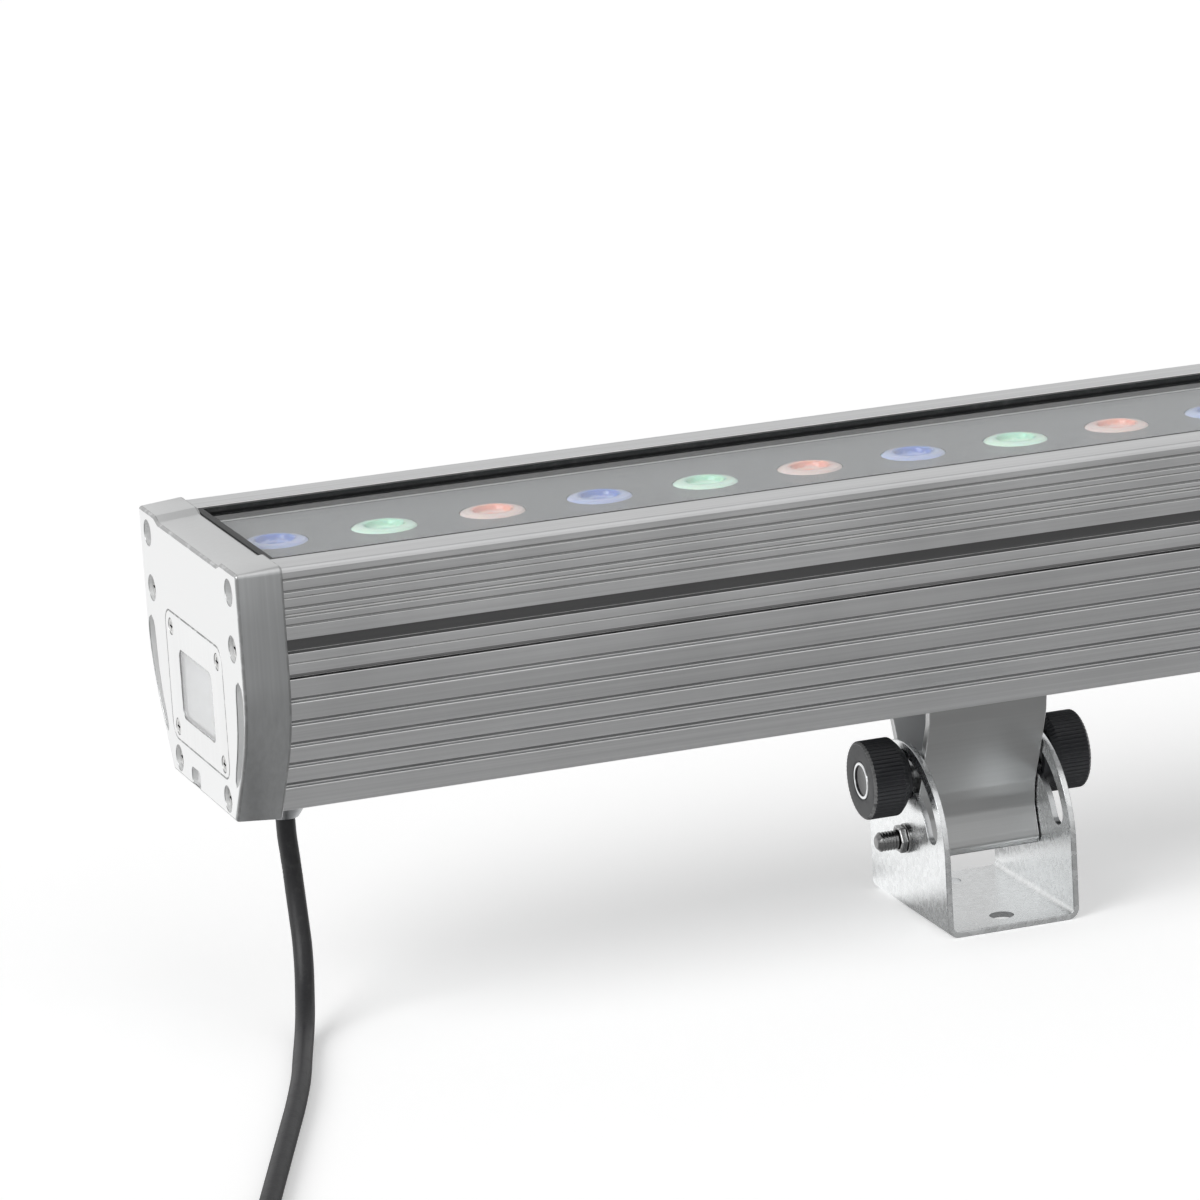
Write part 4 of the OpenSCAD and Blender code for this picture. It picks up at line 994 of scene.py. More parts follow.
@dataclass
class EndCaps:
    """The two cast end caps with their counterbores, side recesses and the seat of the control cover."""

    bar: Bar
    draft: float = 0.9
    rim: float = 0.7
    top_step: float = 1.15
    shoulder_y: float = 28.6
    shoulder_run: float = 3.2
    ports: tuple[tuple[float, float], ...] = ((35.4, 6.4), (35.1, 20.1), (21.2, 59.8))
    bore_r: float = 3.15
    bore_deep: float = 3.42
    spare_sunk: float = 3.0
    shank_r: float = 2.0
    cover: tuple[float, float, float] = (49.4, 32.4, 38.7)
    cover_deep: float = 2.82
    opening: tuple[float, float, float] = (33.0, 22.2, 39.4)
    bonding: tuple[float, float] = (6.8, 61.4)
    bonding_seat: tuple[float, float, float] = (7.4, 4.2, 1.52)
    bonding_bore: tuple[float, float] = (2.05, 4.0)
    recess_start: float = 27.6
    recess_l: float = 27.2
    recess_in: float = 5.3
    recess_half: float = 3.3
    recess_taper: float = 1.5
    recess_deep: float = 4.5

    def outline(self) -> np.ndarray:
        """Gives the cap's outline at its back, with raised shoulders and the bent side."""
        bar = self.bar
        down = np.linspace(bar.bend_d, bar.bend_d + bar.bend_r * math.sin(math.radians(bar.flare)), 12)
        side = np.column_stack([bar.side_y(down), -down])
        foot = float(bar.side_y(bar.cap_h))
        top = rounded([(0, -self.top_step), (self.shoulder_y - self.shoulder_run, -self.top_step),
                       (self.shoulder_y, 0), (bar.half_w, 0), (bar.half_w, -12), (0, -12)],
                      [0, 1.5, 1.5, 1.8, 0, 0], 4).reshape(6, 5, 2)
        foot_points = rounded([(foot + 6, -bar.cap_h + 10), (foot, -bar.cap_h), (0, -bar.cap_h)],
                              [0, 1.2, 0], 4)
        return mirrored(np.vstack([top[1:4].reshape(-1, 2), side, foot_points[5:10]]))

    def recess(self, side: int) -> np.ndarray:
        """Gives one side recess: it follows the cap's side, and its width is a flattened half round that
        narrows downwards."""
        share = np.linspace(0, 1, 25)
        deep = self.recess_start + self.recess_l * share
        middle = self.recess_in - self.recess_taper * share
        fullness = np.sqrt(np.maximum(1 - np.abs(2 * share - 1) ** 6, 0))
        half = (self.recess_half - self.recess_taper * share) * fullness
        outer = np.column_stack([self.bar.side_y(deep) - middle + half, -deep])
        inner = np.column_stack([self.bar.side_y(deep) - middle - half, -deep])[::-1][1:-1]
        return np.vstack([outer, inner]) * (side, 1)

    def pits(self, control: bool) -> list[Pit]:
        """Lists what is sunk into a cap.

        Args:
            control: Whether the cap carries the controls.

        Returns:
            The pits.
        """
        found = []
        for (y, d), deeper in zip(self.ports, (self.spare_sunk, 0, 0)):
            for s in (-1, 1):
                shank = Pit(circle(self.shank_r, s * y, -d, 32), THROUGH, 0.05)
                found.append(Pit(circle(self.bore_r, s * y, -d), self.bore_deep + deeper, 0.2, (shank,)))
        found += [Pit(self.recess(s), self.recess_deep, 0.25) for s in (-1, 1)]
        if control:
            width, height, middle = self.cover
            open_w, open_h, open_mid = self.opening
            opening = Pit(oblong(open_w, open_h, 2, 0, -open_mid), THROUGH, 0.1)
            found.append(Pit(oblong(width, height, 4.1, 0, -middle), self.cover_deep, 0.2, (opening,)))
            (y, d), (bore_r, bore_deep) = self.bonding, self.bonding_bore
            seat_w, seat_h, seat_deep = self.bonding_seat
            bore = Pit(circle(bore_r, y, -d, 32), bore_deep, 0.1)
            found.append(Pit(oblong(seat_w, seat_h, 1.4, y, -d, 4), seat_deep, 0.2, (bore,)))
        return found

    def build(self, finishes: Finishes) -> None:
        """Makes both caps, each a drafted plate that faces out of its end.

        Args:
            finishes: The object's materials.
        """
        for side in Side:
            place = facing_x(side.value * self.bar.x_end, side.value, self.bar.top_z)
            pits = self.pits(side is Side.LEFT)
            shell = plate(place, self.outline(), self.bar.cap_t, pits, self.rim, self.draft)
            finishes.add(shell, f"cap_{side.label}", "end_cap", "bar", f"end_cap_{side.label}")


def cross(size: float, width: float, y: float, z: float) -> np.ndarray:
    """Gives the outline of a cross recess with narrowed tips."""
    s, w = size / 2, width / 2
    arms = [(w, w), (w * 0.7, s), (-w * 0.7, s), (-w, w), (-s, w * 0.7), (-s, -w * 0.7),
            (-w, -w), (-w * 0.7, -s), (w * 0.7, -s), (w, -w), (s, -w * 0.7), (s, w * 0.7)]
    return rounded(np.array(arms) + (y, z), 0.08, 2)


@dataclass
class CapScrews:
    """Pan-head screws with a cross recess that hold an end cap."""

    bar: Bar
    places: tuple[tuple[float, float], ...] = ((35.1, 20.1), (21.2, 59.8))
    sunk: float = 0.8
    head_r: float = 2.95
    head_t: float = 2.6
    shank_r: float = 1.75
    shank_l: float = 19.3
    cross_size: tuple[float, float] = (3.4, 0.8)
    cross_deep: float = 1.5

    def build(self, finishes: Finishes) -> None:
        """Makes four screws for each cap, with their shanks.

        Args:
            finishes: The object's materials.
        """
        for side in Side:
            shell = Shell()
            face = side.value * (self.bar.x_end - self.sunk)
            for y, d in [(s * y, d) for y, d in self.places for s in (-1, 1)]:
                slot = Pit(cross(*self.cross_size, y, -d), self.cross_deep, 0.06)
                place = facing_x(face, side.value, self.bar.top_z)
                shell.join(plate(place, circle(self.head_r, y, -d), self.head_t, [slot], 0.5))
                shank = facing_x(face - side.value * self.head_t, side.value, self.bar.top_z)
                shell.join(plate(shank, circle(self.shank_r, y, -d, 24), self.shank_l, (), 0.1))
            finishes.add(shell, f"cap_screws_{side.label}", "bright_screw", "bar", f"end_screws_{side.label}")


@dataclass
class ControlPanel:
    """The cover, its pane and its screws in the left cap, with the display and keys behind."""

    bar: Bar
    width: float = 49.2
    height: float = 32.2
    middle: float = 38.7
    thick: float = 2.0
    pane_w: float = 30.0
    pane_h: float = 18.8
    pane_mid: float = 39.4
    pane_t: float = 1.6
    pane_sunk: float = 0.4
    pane_lap: float = 0.8
    screw_y: float = 20.0
    screw_d: tuple[float, float] = (26.5, 51.6)
    head_r: float = 2.0
    head_t: float = 0.78
    head_sunk: float = 0.1
    seat_d: float = 0.88
    shank_r: float = 1.0
    shank_l: float = 6.7
    cross_size: tuple[float, float] = (2.3, 0.6)
    cross_deep: float = 0.5

    def place(self, sunk: float = 0.0) -> Place:
        """Gives a place on the left cap's outer face, sunk by a distance."""
        return facing_x(-self.bar.x_end + sunk, -1, self.bar.top_z)

    def build(self, finishes: Finishes) -> None:
        """Makes the cover, the pane and the four small screws.

        Args:
            finishes: The object's materials.
        """
        spots = [(s * self.screw_y, -d) for s in (-1, 1) for d in self.screw_d]
        holes = [Pit(circle(self.head_r + 0.1, y, z, 28), self.seat_d, 0.1,
                     (Pit(circle(self.shank_r + 0.2, y, z, 20), THROUGH, 0.05),)) for y, z in spots]
        open_w, open_h = self.pane_w - 2 * self.pane_lap, self.pane_h - 2 * self.pane_lap
        opening = Pit(oblong(open_w, open_h, 2.2, 0, -self.pane_mid), THROUGH, 0.12)
        cover = plate(self.place(), oblong(self.width, self.height, 4, 0, -self.middle), self.thick,
                      [opening, *holes], 0.25)
        finishes.add(cover, "cover", "cover_plate", "bar", "control_cover")
        screws = Shell()
        for y, z in spots:
            slot = Pit(cross(*self.cross_size, y, z), self.cross_deep, 0.05)
            screws.join(plate(self.place(self.head_sunk), circle(self.head_r, y, z, 28), self.head_t, [slot],
                              0.2))
            screws.join(plate(self.place(self.seat_d), circle(self.shank_r, y, z, 16), self.shank_l, (), 0.1))
        finishes.add(screws, "small_screws", "bright_screw", "bar", "cover_screws")
        pane = plate(self.place(self.pane_sunk), oblong(self.pane_w, self.pane_h, 3, 0, -self.pane_mid),
                     self.pane_t, (), 0.1)
        finishes.add(pane, "pane", "clear_pane", "bar", "control_window", look="misted_pane")


@dataclass
class Optics:
    """The window, its seal, the plate with the row of lenses, and the lenses themselves."""

    bar: Bar
    count: int = 36
    pitch: float = 27.5
    margin: float = 22.0
    lens_r: float = 8.0
    lens_h: float = 11.0
    plate_d: float = 6.25
    crown: float = 0.65
    plate_t: float = 1.2
    plate_y: float = 27.4
    seal_side: float = 0.7
    seal_end: float = 1.3

    def lamp_x(self) -> np.ndarray:
        """Gives the lamps' places along the bar."""
        return -self.bar.x_end + self.margin + self.pitch * np.arange(self.count)

    def lens(self) -> Shell:
        """Makes one lens that stands on Z = 0: a flared wall, a low crown that rises out of the plate, and a
        dish in the middle. Its tone is its radius over the lens's own.

        Returns:
            The lens.
        """
        r, h, c = self.lens_r, self.lens_h, self.crown
        profile = soft_profile([(0, 0.3), (2.6, 0.3), (r * 0.8, h * 0.55), (r, h - 1.5), (r, h - 0.1),
                                (r * 0.92, h + 0.45 * c), (r * 0.78, h + 0.85 * c), (r * 0.64, h + c),
                                (r * 0.58, h + 0.7 * c), (r * 0.5, h - 0.75), (r * 0.25, h - 1.35),
                                (0, h - 1.5)],
                               [0, 0.2, 2, 0.3, 0.2, 1.5, 1.5, 0.5, 0.4, 1.2, 2.0, 0], 4)
        return revolve(profile, 48, tone=profile[:, 0] / r)

    def build(self, finishes: Finishes) -> None:
        """Makes the optical pieces.

        Args:
            finishes: The object's materials.
        """
        bar = self.bar
        top = bar.top_z - self.plate_d
        length = 2 * (bar.inner_x - self.seal_end - 0.2)
        holes = [Pit(circle(self.lens_r + 0.15, x, 0), THROUGH, 0.1) for x in self.lamp_x()]
        tray = plate(facing_z(top), oblong(length, 2 * self.plate_y, 0.5), self.plate_t, holes, 0.1)
        finishes.add(tray, "lamp_plate", "lens_plate", "bar", "lens_plate")
        one = self.lens()
        for i, colour in enumerate(("blue", "green", "red")):
            row = Shell()
            for x in self.lamp_x()[i::3]:
                row.join(one.moved(np.eye(3), (x, 0, top - self.lens_h)))
            finishes.add(row, f"lens_row_{colour}", f"lens_{colour}", "bar", f"lenses_{colour}")
        glass_x = bar.inner_x - self.seal_side
        glass_y = bar.window_y - self.seal_side
        outline = oblong(2 * glass_x, 2 * glass_y, 0.8)
        pane = plate(facing_z(bar.top_z - bar.glass_d), outline, bar.glass_t, (), 0.3)
        finishes.add(pane, "window", "clear_pane", "bar", "window_glass")


@dataclass
class Hanger:
    """One arm with its tilting bracket, pivot bolt and two clamp knobs."""

    bar: Bar
    side: Side
    width: float = 35.4
    sheet: float = 1.5
    bend: float = 3.0
    half_l: float = 25.0
    slot_r: float = 18.0
    slot_w: float = 7.1
    stud_at: float = 16.6
    tilt: float = 70.0
    base_pitch: float = 34.0
    base_r: float = 3.1
    bolt_r: float = 2.5
    arm_drop: float = 39.2
    arm_w: float = 31.8
    knob_r: float = 9.95
    knob_t: float = 9.9
    collar_r: float = 6.6
    collar_t: float = 1.6
    insert_r: float = 4.75
    stud_r: float = 2.0
    stud_reach: float = 12.0
    ribs: int = 56
    nut_r: float = 3.7
    nut_t: float = 1.9
    head_t: float = 3.0
    washer_t: float = 0.8
    washer_r: float = 3.8
    bolt_out: float = 8.4
    thread_root: float = 2.28
    thread_pitch: float = 0.8
    rib_deep: float = 0.4

    @property
    def x(self) -> float:
        """The hanger's middle along the bar."""
        return self.side.value * self.bar.bracket_x

    def folded(self, flat: np.ndarray) -> np.ndarray:
        """Folds the bracket's blank: straight over the base, then round the bend by an angle of the distance
        over the middle radius, then straight up the flange.

        Args:
            flat: Points whose first axis crosses the blank, whose second runs along Y and whose third is the
                height over the sheet's outer face.

        Returns:
            The folded points.
        """
        across, y, up = np.abs(flat[:, 0]), flat[:, 1], flat[:, 2]
        middle = self.bend - self.sheet / 2
        flat_half = self.width / 2 - self.bend
        angle = np.clip((across - flat_half) / middle, 0, math.pi / 2)
        beyond = np.maximum(across - flat_half - middle * math.pi / 2, 0)
        radius = self.bend - up
        bent = across > flat_half
        x = np.where(bent, flat_half + radius * np.sin(angle), across)
        z = np.where(bent, self.bend - radius * np.cos(angle) + beyond, up)
        return np.column_stack([np.sign(flat[:, 0]) * x + self.x, y, z])

    def blank(self) -> Shell:
        """Makes the flat blank: a strip with half-round ends, the arc slots, the pivot holes and the two
        holes of the base."""
        middle = self.bend - self.sheet / 2
        reach = self.width / 2 - self.bend + middle * math.pi / 2 + self.bar.pivot_h - self.bend
        a = np.linspace(-math.pi / 2, math.pi / 2, 49)
        end = np.column_stack([reach + self.half_l * np.cos(a), self.half_l * np.sin(a)])
        outline = np.vstack([end, -end])
        inner, outer = self.slot_r - self.slot_w / 2, self.slot_r + self.slot_w / 2
        sweep = np.radians(np.linspace(-self.tilt, self.tilt, 33))
        tip = np.radians(np.linspace(0, 180, 11))[1:-1]
        pits = []
        for s in (-1, 1):
            arc = [np.column_stack([r * np.cos(w), r * np.sin(w)])
                   for r, w in ((outer, sweep), (inner, sweep[::-1]))]
            caps = [self.slot_r * np.array([math.cos(w), math.sin(w)])
                    + self.slot_w / 2 * np.column_stack([np.cos(w + tip - back), np.sin(w + tip - back)])
                    for w, back in ((sweep[-1], 0), (sweep[0], math.pi))]
            slot = np.vstack([arc[0], caps[0], arc[1], caps[1]])
            pits.append(Pit((slot + (reach, 0)) * (s, 1), THROUGH, 0.15))
            pits.append(Pit(circle(self.bolt_r + 0.05, s * reach, 0, 32), THROUGH, 0.15))
        pits += [Pit(circle(self.base_r, 0, s * self.base_pitch / 2), THROUGH, 0.15) for s in (-1, 1)]
        return plate(lambda flat, deep: np.column_stack([flat, np.full(len(flat), deep)]), outline,
                     self.sheet, pits, 0.2)

    def bracket(self, finishes: Finishes) -> None:
        """Folds the blank into a U, after it is cut across every bend so that it can follow the round."""
        shell = self.blank()
        name = self.side.label
        piece = shell.build(f"sheet_{name}", finishes.by_slot["zinc_sheet"])
        work = bmesh.new()
        work.from_mesh(piece.data)
        middle = self.bend - self.sheet / 2
        start = self.width / 2 - self.bend
        for s in (-1, 1):
            for cut in np.linspace(start, start + middle * math.pi / 2, 8):
                bmesh.ops.bisect_plane(work, geom=work.verts[:] + work.edges[:] + work.faces[:], dist=1e-7,
                                       plane_co=(s * cut * MM, 0, 0), plane_no=(1, 0, 0))
        work.to_mesh(piece.data)
        work.free()
        flat = np.empty(len(piece.data.vertices) * 3, np.float32)
        piece.data.vertices.foreach_get("co", flat)
        folded = self.folded(flat.reshape(-1, 3) / MM) * MM
        piece.data.vertices.foreach_set("co", folded.astype(np.float32).ravel())
        keep_flat(piece.data, 40)
        finishes.dress(piece, "zinc_sheet", f"{name}_bracket", f"bracket_{name}")

    def arm(self, finishes: Finishes) -> None:
        """Makes the arm: its section is a hollow wedge on a waisted foot, carried across between the
        flanges."""
        top = self.arm_drop
        right = np.array([(14.6, top), (14.6, top - 3.1), (13.9, top - 7.4), (10, top - 16.7),
                          (6.4, top - 24.5), (4.9, 11.6), (4.1, 8.5), (3.8, 5), (4.3, 2.7), (4.8, 0.8),
                          (5.4, -1.3), (5.85, -3.1), (5, -4.9), (3.2, -5.4)])
        radii = [0.2, 0.8, 3, 6, 8, 8, 8, 4, 4, 4, 4, 1.4, 0.8, 0.5]
        half = rounded(np.vstack([right, [(-3.2, -5.4), (-20, 0)]]), radii + [0, 0], 4)[:5 * len(right)]
        hub = self.stud_at
        over = np.radians(np.linspace(8, 90, 9))
        hollow = np.vstack([[(12.2, top - 3), (11.5, top - 7.4), (7.4, top - 16.7), (5.6, hub + 1.6)],
                            5.3 * np.column_stack([np.cos(over), np.sin(over)])[:-1] + (0, hub)])
        place = facing_x(self.x - self.arm_w / 2, -1, self.bar.pivot_h)
        pits = [Pit(mirrored(hollow), THROUGH, 0.25),
                Pit(circle(self.stud_r + 0.05, 0, hub, 32), THROUGH, 0.2),
                Pit(circle(self.bolt_r + 0.05, 0, 0, 32), THROUGH, 0.2)]
        name = self.side.label
        shell = plate(place, mirrored(half), self.arm_w, pits, 0.25)
        finishes.add(shell, f"arm_{name}_body", "arm", "bar", f"arm_{name}")

    def knob(self, outward: int, label: str, finishes: Finishes) -> None:
        """Makes a clamp knob and the stud with its ring; both are turned profiles laid along X.

        Args:
            outward: The sign of X that the knob faces.
            label: Which knob it is.
            finishes: The object's materials.
        """
        r, base = self.knob_r, 0.2
        back, face = base + self.collar_t, base + self.collar_t + self.knob_t
        profile = soft_profile(
            [(self.insert_r, base), (self.collar_r, base), (self.collar_r, back), (r - 1.6, back),
             (r - 0.4, back + 1.2), (r, back + 1.6), (r, face - 0.5), (r - 0.6, face),
             (self.insert_r + 0.5, face - 0.1), (self.insert_r, face - 0.5), (self.insert_r, base)],
            [0, 0.3, 0.3, 0.4, 0.3, 0.2, 0.3, 0.3, 0.2, 0.1, 0], 3)
        ribbed = np.clip((profile[:, 0] - (r - 1.0)) / 0.9, 0, 1) * self.rib_deep
        sides = self.ribs * 8
        middle = (profile[1:] + profile[:-1]) / 2
        # The rim of the knob's face takes the paler edge mark: partly rubbing, partly painted highlight.
        rubbed_and_lit = np.where((middle[:, 0] > r - 0.7) & (middle[:, 1] > face - 0.6), 1.0, 0.0)
        knob = revolve(profile, sides, rubbed_and_lit, ribbed, self.ribs)
        turn = UPRIGHT_TO_X[outward]
        shift = (self.x + outward * self.width / 2, 0, self.bar.pivot_h + self.stud_at)
        finishes.add(knob.moved(turn, shift), f"grip_{label}", "knob_plastic", f"{label}_knob",
                     f"knob_{label}")
        ring = self.insert_r - 0.02
        stud_end = -self.sheet - 0.3 - self.stud_reach
        metal = soft_profile(
            [(0, stud_end), (self.stud_r, stud_end), (self.stud_r, base), (ring, base), (ring, face),
             (ring - 0.8, face), (ring - 0.8, face - 0.5), (0, face - 0.5)],
            [0, 0.4, 0.05, 0.05, 0.36, 0.36, 0.1, 0], 5)
        tones = np.where(metal[:, 1] > face - 0.6, metal[:, 0] / ring, 1.0)
        edges = np.where((metal[1:, 0] < ring - 0.79) & (metal[1:, 1] > face - 0.6), -1.0, 0.0)
        stud = revolve(metal, 48, edges, tone=tones).moved(turn, shift)
        finishes.add(stud, f"insert_{label}", "chromed_insert", f"{label}_knob", f"stud_{label}")

    def pivot(self, finishes: Finishes) -> None:
        """Makes the pivot bolt with its head, its domed end, the nut and both washers."""
        flange = self.width / 2
        name = self.side.label
        hexagon = rounded(circle(self.nut_r, sides=6), 0.25, 3)
        centre = self.bar.pivot_h
        bolt = plate(facing_x(self.x + flange + self.washer_t + self.head_t, 1, centre), hexagon, self.head_t,
                     [Pit(circle(1.6, sides=24), 1.4, 0.15)], 0.4)
        end = -flange - self.bolt_out
        r, buried = self.bolt_r, flange + 0.85
        grooves = np.arange(end + 1.3, -flange - self.washer_t - self.nut_t - 0.2, self.thread_pitch)
        thread = [point for z in grooves for point in ((r, z), (self.thread_root, z + self.thread_pitch / 2))]
        shank = soft_profile([(0, end), (r - 1, end), (r, end + 1), *thread, (r, buried), (0, buried)],
                             [0, 0.6, 0.3, *([0.1] * len(thread)), 0, 0], 3)
        bolt.join(revolve(shank, 40).moved(UPRIGHT_TO_X[1], (self.x, 0, centre)))
        finishes.add(bolt, f"bolt_{name}", "dark_steel", f"{name}_bracket", f"pivot_bolt_{name}")
        bore = Pit(circle(r + 0.05, sides=32), THROUGH, 0.1)
        nut_x = self.x - flange - self.washer_t - self.nut_t
        nuts = plate(facing_x(nut_x, -1, centre), hexagon, self.nut_t, [bore], 0.4)
        for at, way in ((self.x - flange - self.washer_t, -1), (self.x + flange + self.washer_t, 1)):
            nuts.join(plate(facing_x(at, way, centre), circle(self.washer_r), self.washer_t, [bore], 0.2))
        finishes.add(nuts, f"nuts_{name}", "dark_steel", f"{name}_bracket", f"pivot_nuts_{name}")

    def build(self, finishes: Finishes) -> None:
        """Makes the whole hanger.

        Args:
            finishes: The object's materials.
        """
        self.bracket(finishes)
        self.arm(finishes)
        self.pivot(finishes)
        name = self.side.label
        for outward in (-1, 1):
            where = "outer" if outward == self.side.value else "inner"
            self.knob(outward, f"{name}_{where}", finishes)


@dataclass
class Lead:
    """The gland and the low-voltage lead, which drops to the floor, runs out of view and is coiled there."""

    bar: Bar
    radius: float = 2.4
    route: tuple[tuple[float, float, float], ...] = (
        (19.5, 0, 50), (19.6, 0, 45), (20, 0, 40), (20.3, -0.2, 35), (20.4, -1, 30), (20.3, -2.6, 25),
        (20, -5, 19.2), (19, -8.6, 13.7), (17.5, -13, 9), (15.6, -18.6, 5.4), (13.2, -25.4, 3.1),
        (10.4, -33.6, 2.4), (7, -44, 2.4), (3.4, -55, 2.4), (-0.6, -66, 2.4), (-4.8, -77, 2.4),
        (-9.2, -88, 2.4), (-13.6, -99, 2.4), (-18, -110, 2.4), (-22.4, -121, 2.4), (-26.8, -132, 2.4),
        (-31.2, -143, 2.4), (-35.6, -154, 2.4), (-40, -165, 2.5), (-44.4, -176, 2.7), (-48.8, -187, 2.9))
    loops: float = 2.625
    coil_r: float = 33.6
    gap: float = 0.5
    climb: float = 0.5
    loop_points: int = 24
    grip_r: float = 6.2
    grip_taper: float = 7.0
    plug_l: float = 30.0
    nose_l: float = 9.0
    ring_r: float = 4.7
    ring_span: tuple[float, float] = (30.4, 44.3)
    gland_r: float = 6.0
    gland_thread_r: float = 4.75
    gland_inside: float = 8.5

    def coil(self) -> np.ndarray:
        """Gives the coil's line: clockwise circles that draw in by a pitch a turn on the floor, climb one
        layer in half a turn, and widen again on top.

        Returns:
            Its points, counted from the bar's left end, with a straight stretch at the end.
        """
        pitch = 2 * self.radius + self.gap
        end = np.array(self.route[-1])
        heading = math.atan2(-11, -4.4)
        start = heading + math.pi / 2
        ahead = np.array([math.cos(heading), math.sin(heading)])
        from_centre = self.coil_r * np.array([math.cos(start), math.sin(start)])
        centre = end[:2] + 2 * self.radius * ahead - from_centre
        turns = np.linspace(0, 2 * self.loops, round(2 * self.loops * self.loop_points) + 1)
        angle = start - 2 * math.pi * turns
        radius = self.coil_r - pitch * (self.loops - np.abs(turns - self.loops))
        lift = pitch * np.clip((turns - self.loops) / self.climb + 0.5, 0, 1)
        points = np.column_stack([centre[0] + radius * np.cos(angle), centre[1] + radius * np.sin(angle),
                                  end[2] + lift])
        out = np.array([math.sin(angle[-1]), -math.cos(angle[-1]), 0])
        clear_of_coil = math.sqrt((self.coil_r + self.radius + self.grip_r) ** 2 - self.coil_r**2)
        straight = clear_of_coil - self.grip_taper
        return np.vstack([points, points[-1] + straight * np.array([[1], [2], [3]]) / 3 * out])

    def line(self, steps: int = 4) -> np.ndarray:
        """Gives the whole lead's smooth line in the frame: between two points it is the Catmull-Rom cubic
        through their neighbours.

        Args:
            steps: Spans between two points of the route.

        Returns:
            The line's points.
        """
        points = np.vstack([np.array(self.route), self.coil()]) - (self.bar.x_end, 0, 0)
        held = np.vstack([2 * points[0] - points[1], points, 2 * points[-1] - points[-2]])
        a, b, c, d = (held[i:len(held) - 3 + i, None] for i in range(4))
        t = (np.arange(steps) / steps)[None, :, None]
        curve = 0.5 * (2 * b + (c - a) * t + (2 * a - 5 * b + 4 * c - d) * t**2
                       + (3 * b - a - 3 * c + d) * t**3)
        return np.vstack([curve.reshape(-1, 3), points[-1:]])

    def tube(self, line: np.ndarray, sides: int = 20) -> Shell:
        """Carries a circle along a line; each ring stands square to the line, on a level arm that is square
        to the line's heading in plan.

        Args:
            line: The line's points.
            sides: Points in a ring.

        Returns:
            The closed tube.
        """
        tangent = np.gradient(line, axis=0)
        tangent /= np.linalg.norm(tangent, axis=1, keepdims=True)
        heading = np.unwrap(np.arctan2(tangent[:, 1], tangent[:, 0]))
        level = np.column_stack([-np.sin(heading), np.cos(heading), np.zeros(len(line))])
        raised = np.cross(tangent, level)
        a = np.linspace(0, 2 * math.pi, sides, endpoint=False)[None, :, None]
        rings = line[:, None] + self.radius * (np.cos(a) * level[:, None] + np.sin(a) * raised[:, None])
        shell = Shell()
        shell.add_rings(rings)
        for ring in (rings[0], rings[-1]):
            shell.add(np.vstack([ring, ring.mean(0)]), np.column_stack([np.arange(sides),
                      np.roll(np.arange(sides), -1), np.full(sides, sides)]))
        return shell

    def gland(self, finishes: Finishes) -> None:
        """Makes the gland's body in the floor of the extrusion and the nut that closes on the lead."""
        gland_x, _, foot = self.route[0]
        at = (gland_x - self.bar.x_end, 0, 0)
        top = self.bar.top_z - self.bar.body_d
        flange = top - 2
        bore, r, thread, head = self.radius + 0.05, self.gland_r, self.gland_thread_r, top + self.gland_inside
        body = soft_profile([(bore, flange), (r, flange), (r, top), (thread, top), (thread, head),
                             (bore, head), (bore, flange)], [0, 0.3, 0.1, 0.1, 0.3, 0.1, 0], 3)
        nut = soft_profile([(bore, foot), (self.radius + 0.9, foot), (r - 0.6, foot + 3), (r, foot + 3.2),
                            (r, flange), (bore, flange), (bore, foot)], [0, 0.3, 1.2, 0.2, 0.3, 0.1, 0], 3)
        ripple = np.where((nut[:, 1] > foot + 3.4) & (nut[:, 0] > r - 0.5), 0.35, 0.0)
        turned = {"cable_gland": revolve(body, 48), "gland_nut": revolve(nut, 96, ripple=ripple, waves=12)}
        for name, shell in turned.items():
            finishes.add(shell.moved(np.eye(3), at), f"{name}_turned", "gland_metal", "bar", name)

    def connector(self, line: np.ndarray, finishes: Finishes) -> list[bpy.types.Object]:
        """Makes the connector's grip and its ribbed ring at the lead's end.

        Args:
            line: The lead's line.
            finishes: The object's materials.

        Returns:
            The two pieces.
        """
        ahead = line[-1] - line[-2]
        ahead[2] = 0
        ahead /= np.linalg.norm(ahead)
        turn = np.column_stack([np.cross((0, 0, 1), ahead), (0, 0, 1), ahead])
        nose, tip = self.grip_r - 1.6, self.plug_l + self.nose_l
        grip = soft_profile([(0, 0), (self.radius + 1, 0), (self.grip_r, self.grip_taper),
                             (self.grip_r, self.plug_l), (nose, self.plug_l), (nose, tip), (0, tip)],
                            [0, 0.4, 2, 0.5, 0.2, 0.4, 0], 3)
        waist = np.where((grip[:, 1] > 9) & (grip[:, 1] < 29) & (grip[:, 0] > 6), 0.25, 0.0)
        body = revolve(grip, 72, ripple=waist, waves=18).moved(turn, line[-1])
        reach = line[-1][2] - 0.02
        low, high = self.ring_span
        hoop = soft_profile([(self.ring_r, low), (reach - 0.5, low), (reach, low + 0.8), (reach, high - 0.9),
                             (reach - 0.5, high), (self.ring_r, high), (self.ring_r, low)],
                            [0, 0.3, 0.3, 0.3, 0.3, 0.2, 0], 3)
        ribbed = np.where(hoop[:, 0] > reach - 0.2, 0.5, 0.0)
        ring = revolve(hoop, 160, ripple=ribbed, waves=20).moved(turn, line[-1])
        return [finishes.add(shell, f"{name}_moulded", "connector_plastic", "bar", name)
                for name, shell in (("connector_body", body), ("connector_ring", ring))]

    def build(self, finishes: Finishes) -> None:
        """Makes the gland, the lead and the connector.

        Args:
            finishes: The object's materials.
        """
        self.gland(finishes)
        line = self.line()
        piece = finishes.add(self.tube(line), "lead", "cord_jacket", "bar", "power_cord", "cord_coil",
                             sharp=60)
        ends = self.connector(line, finishes)


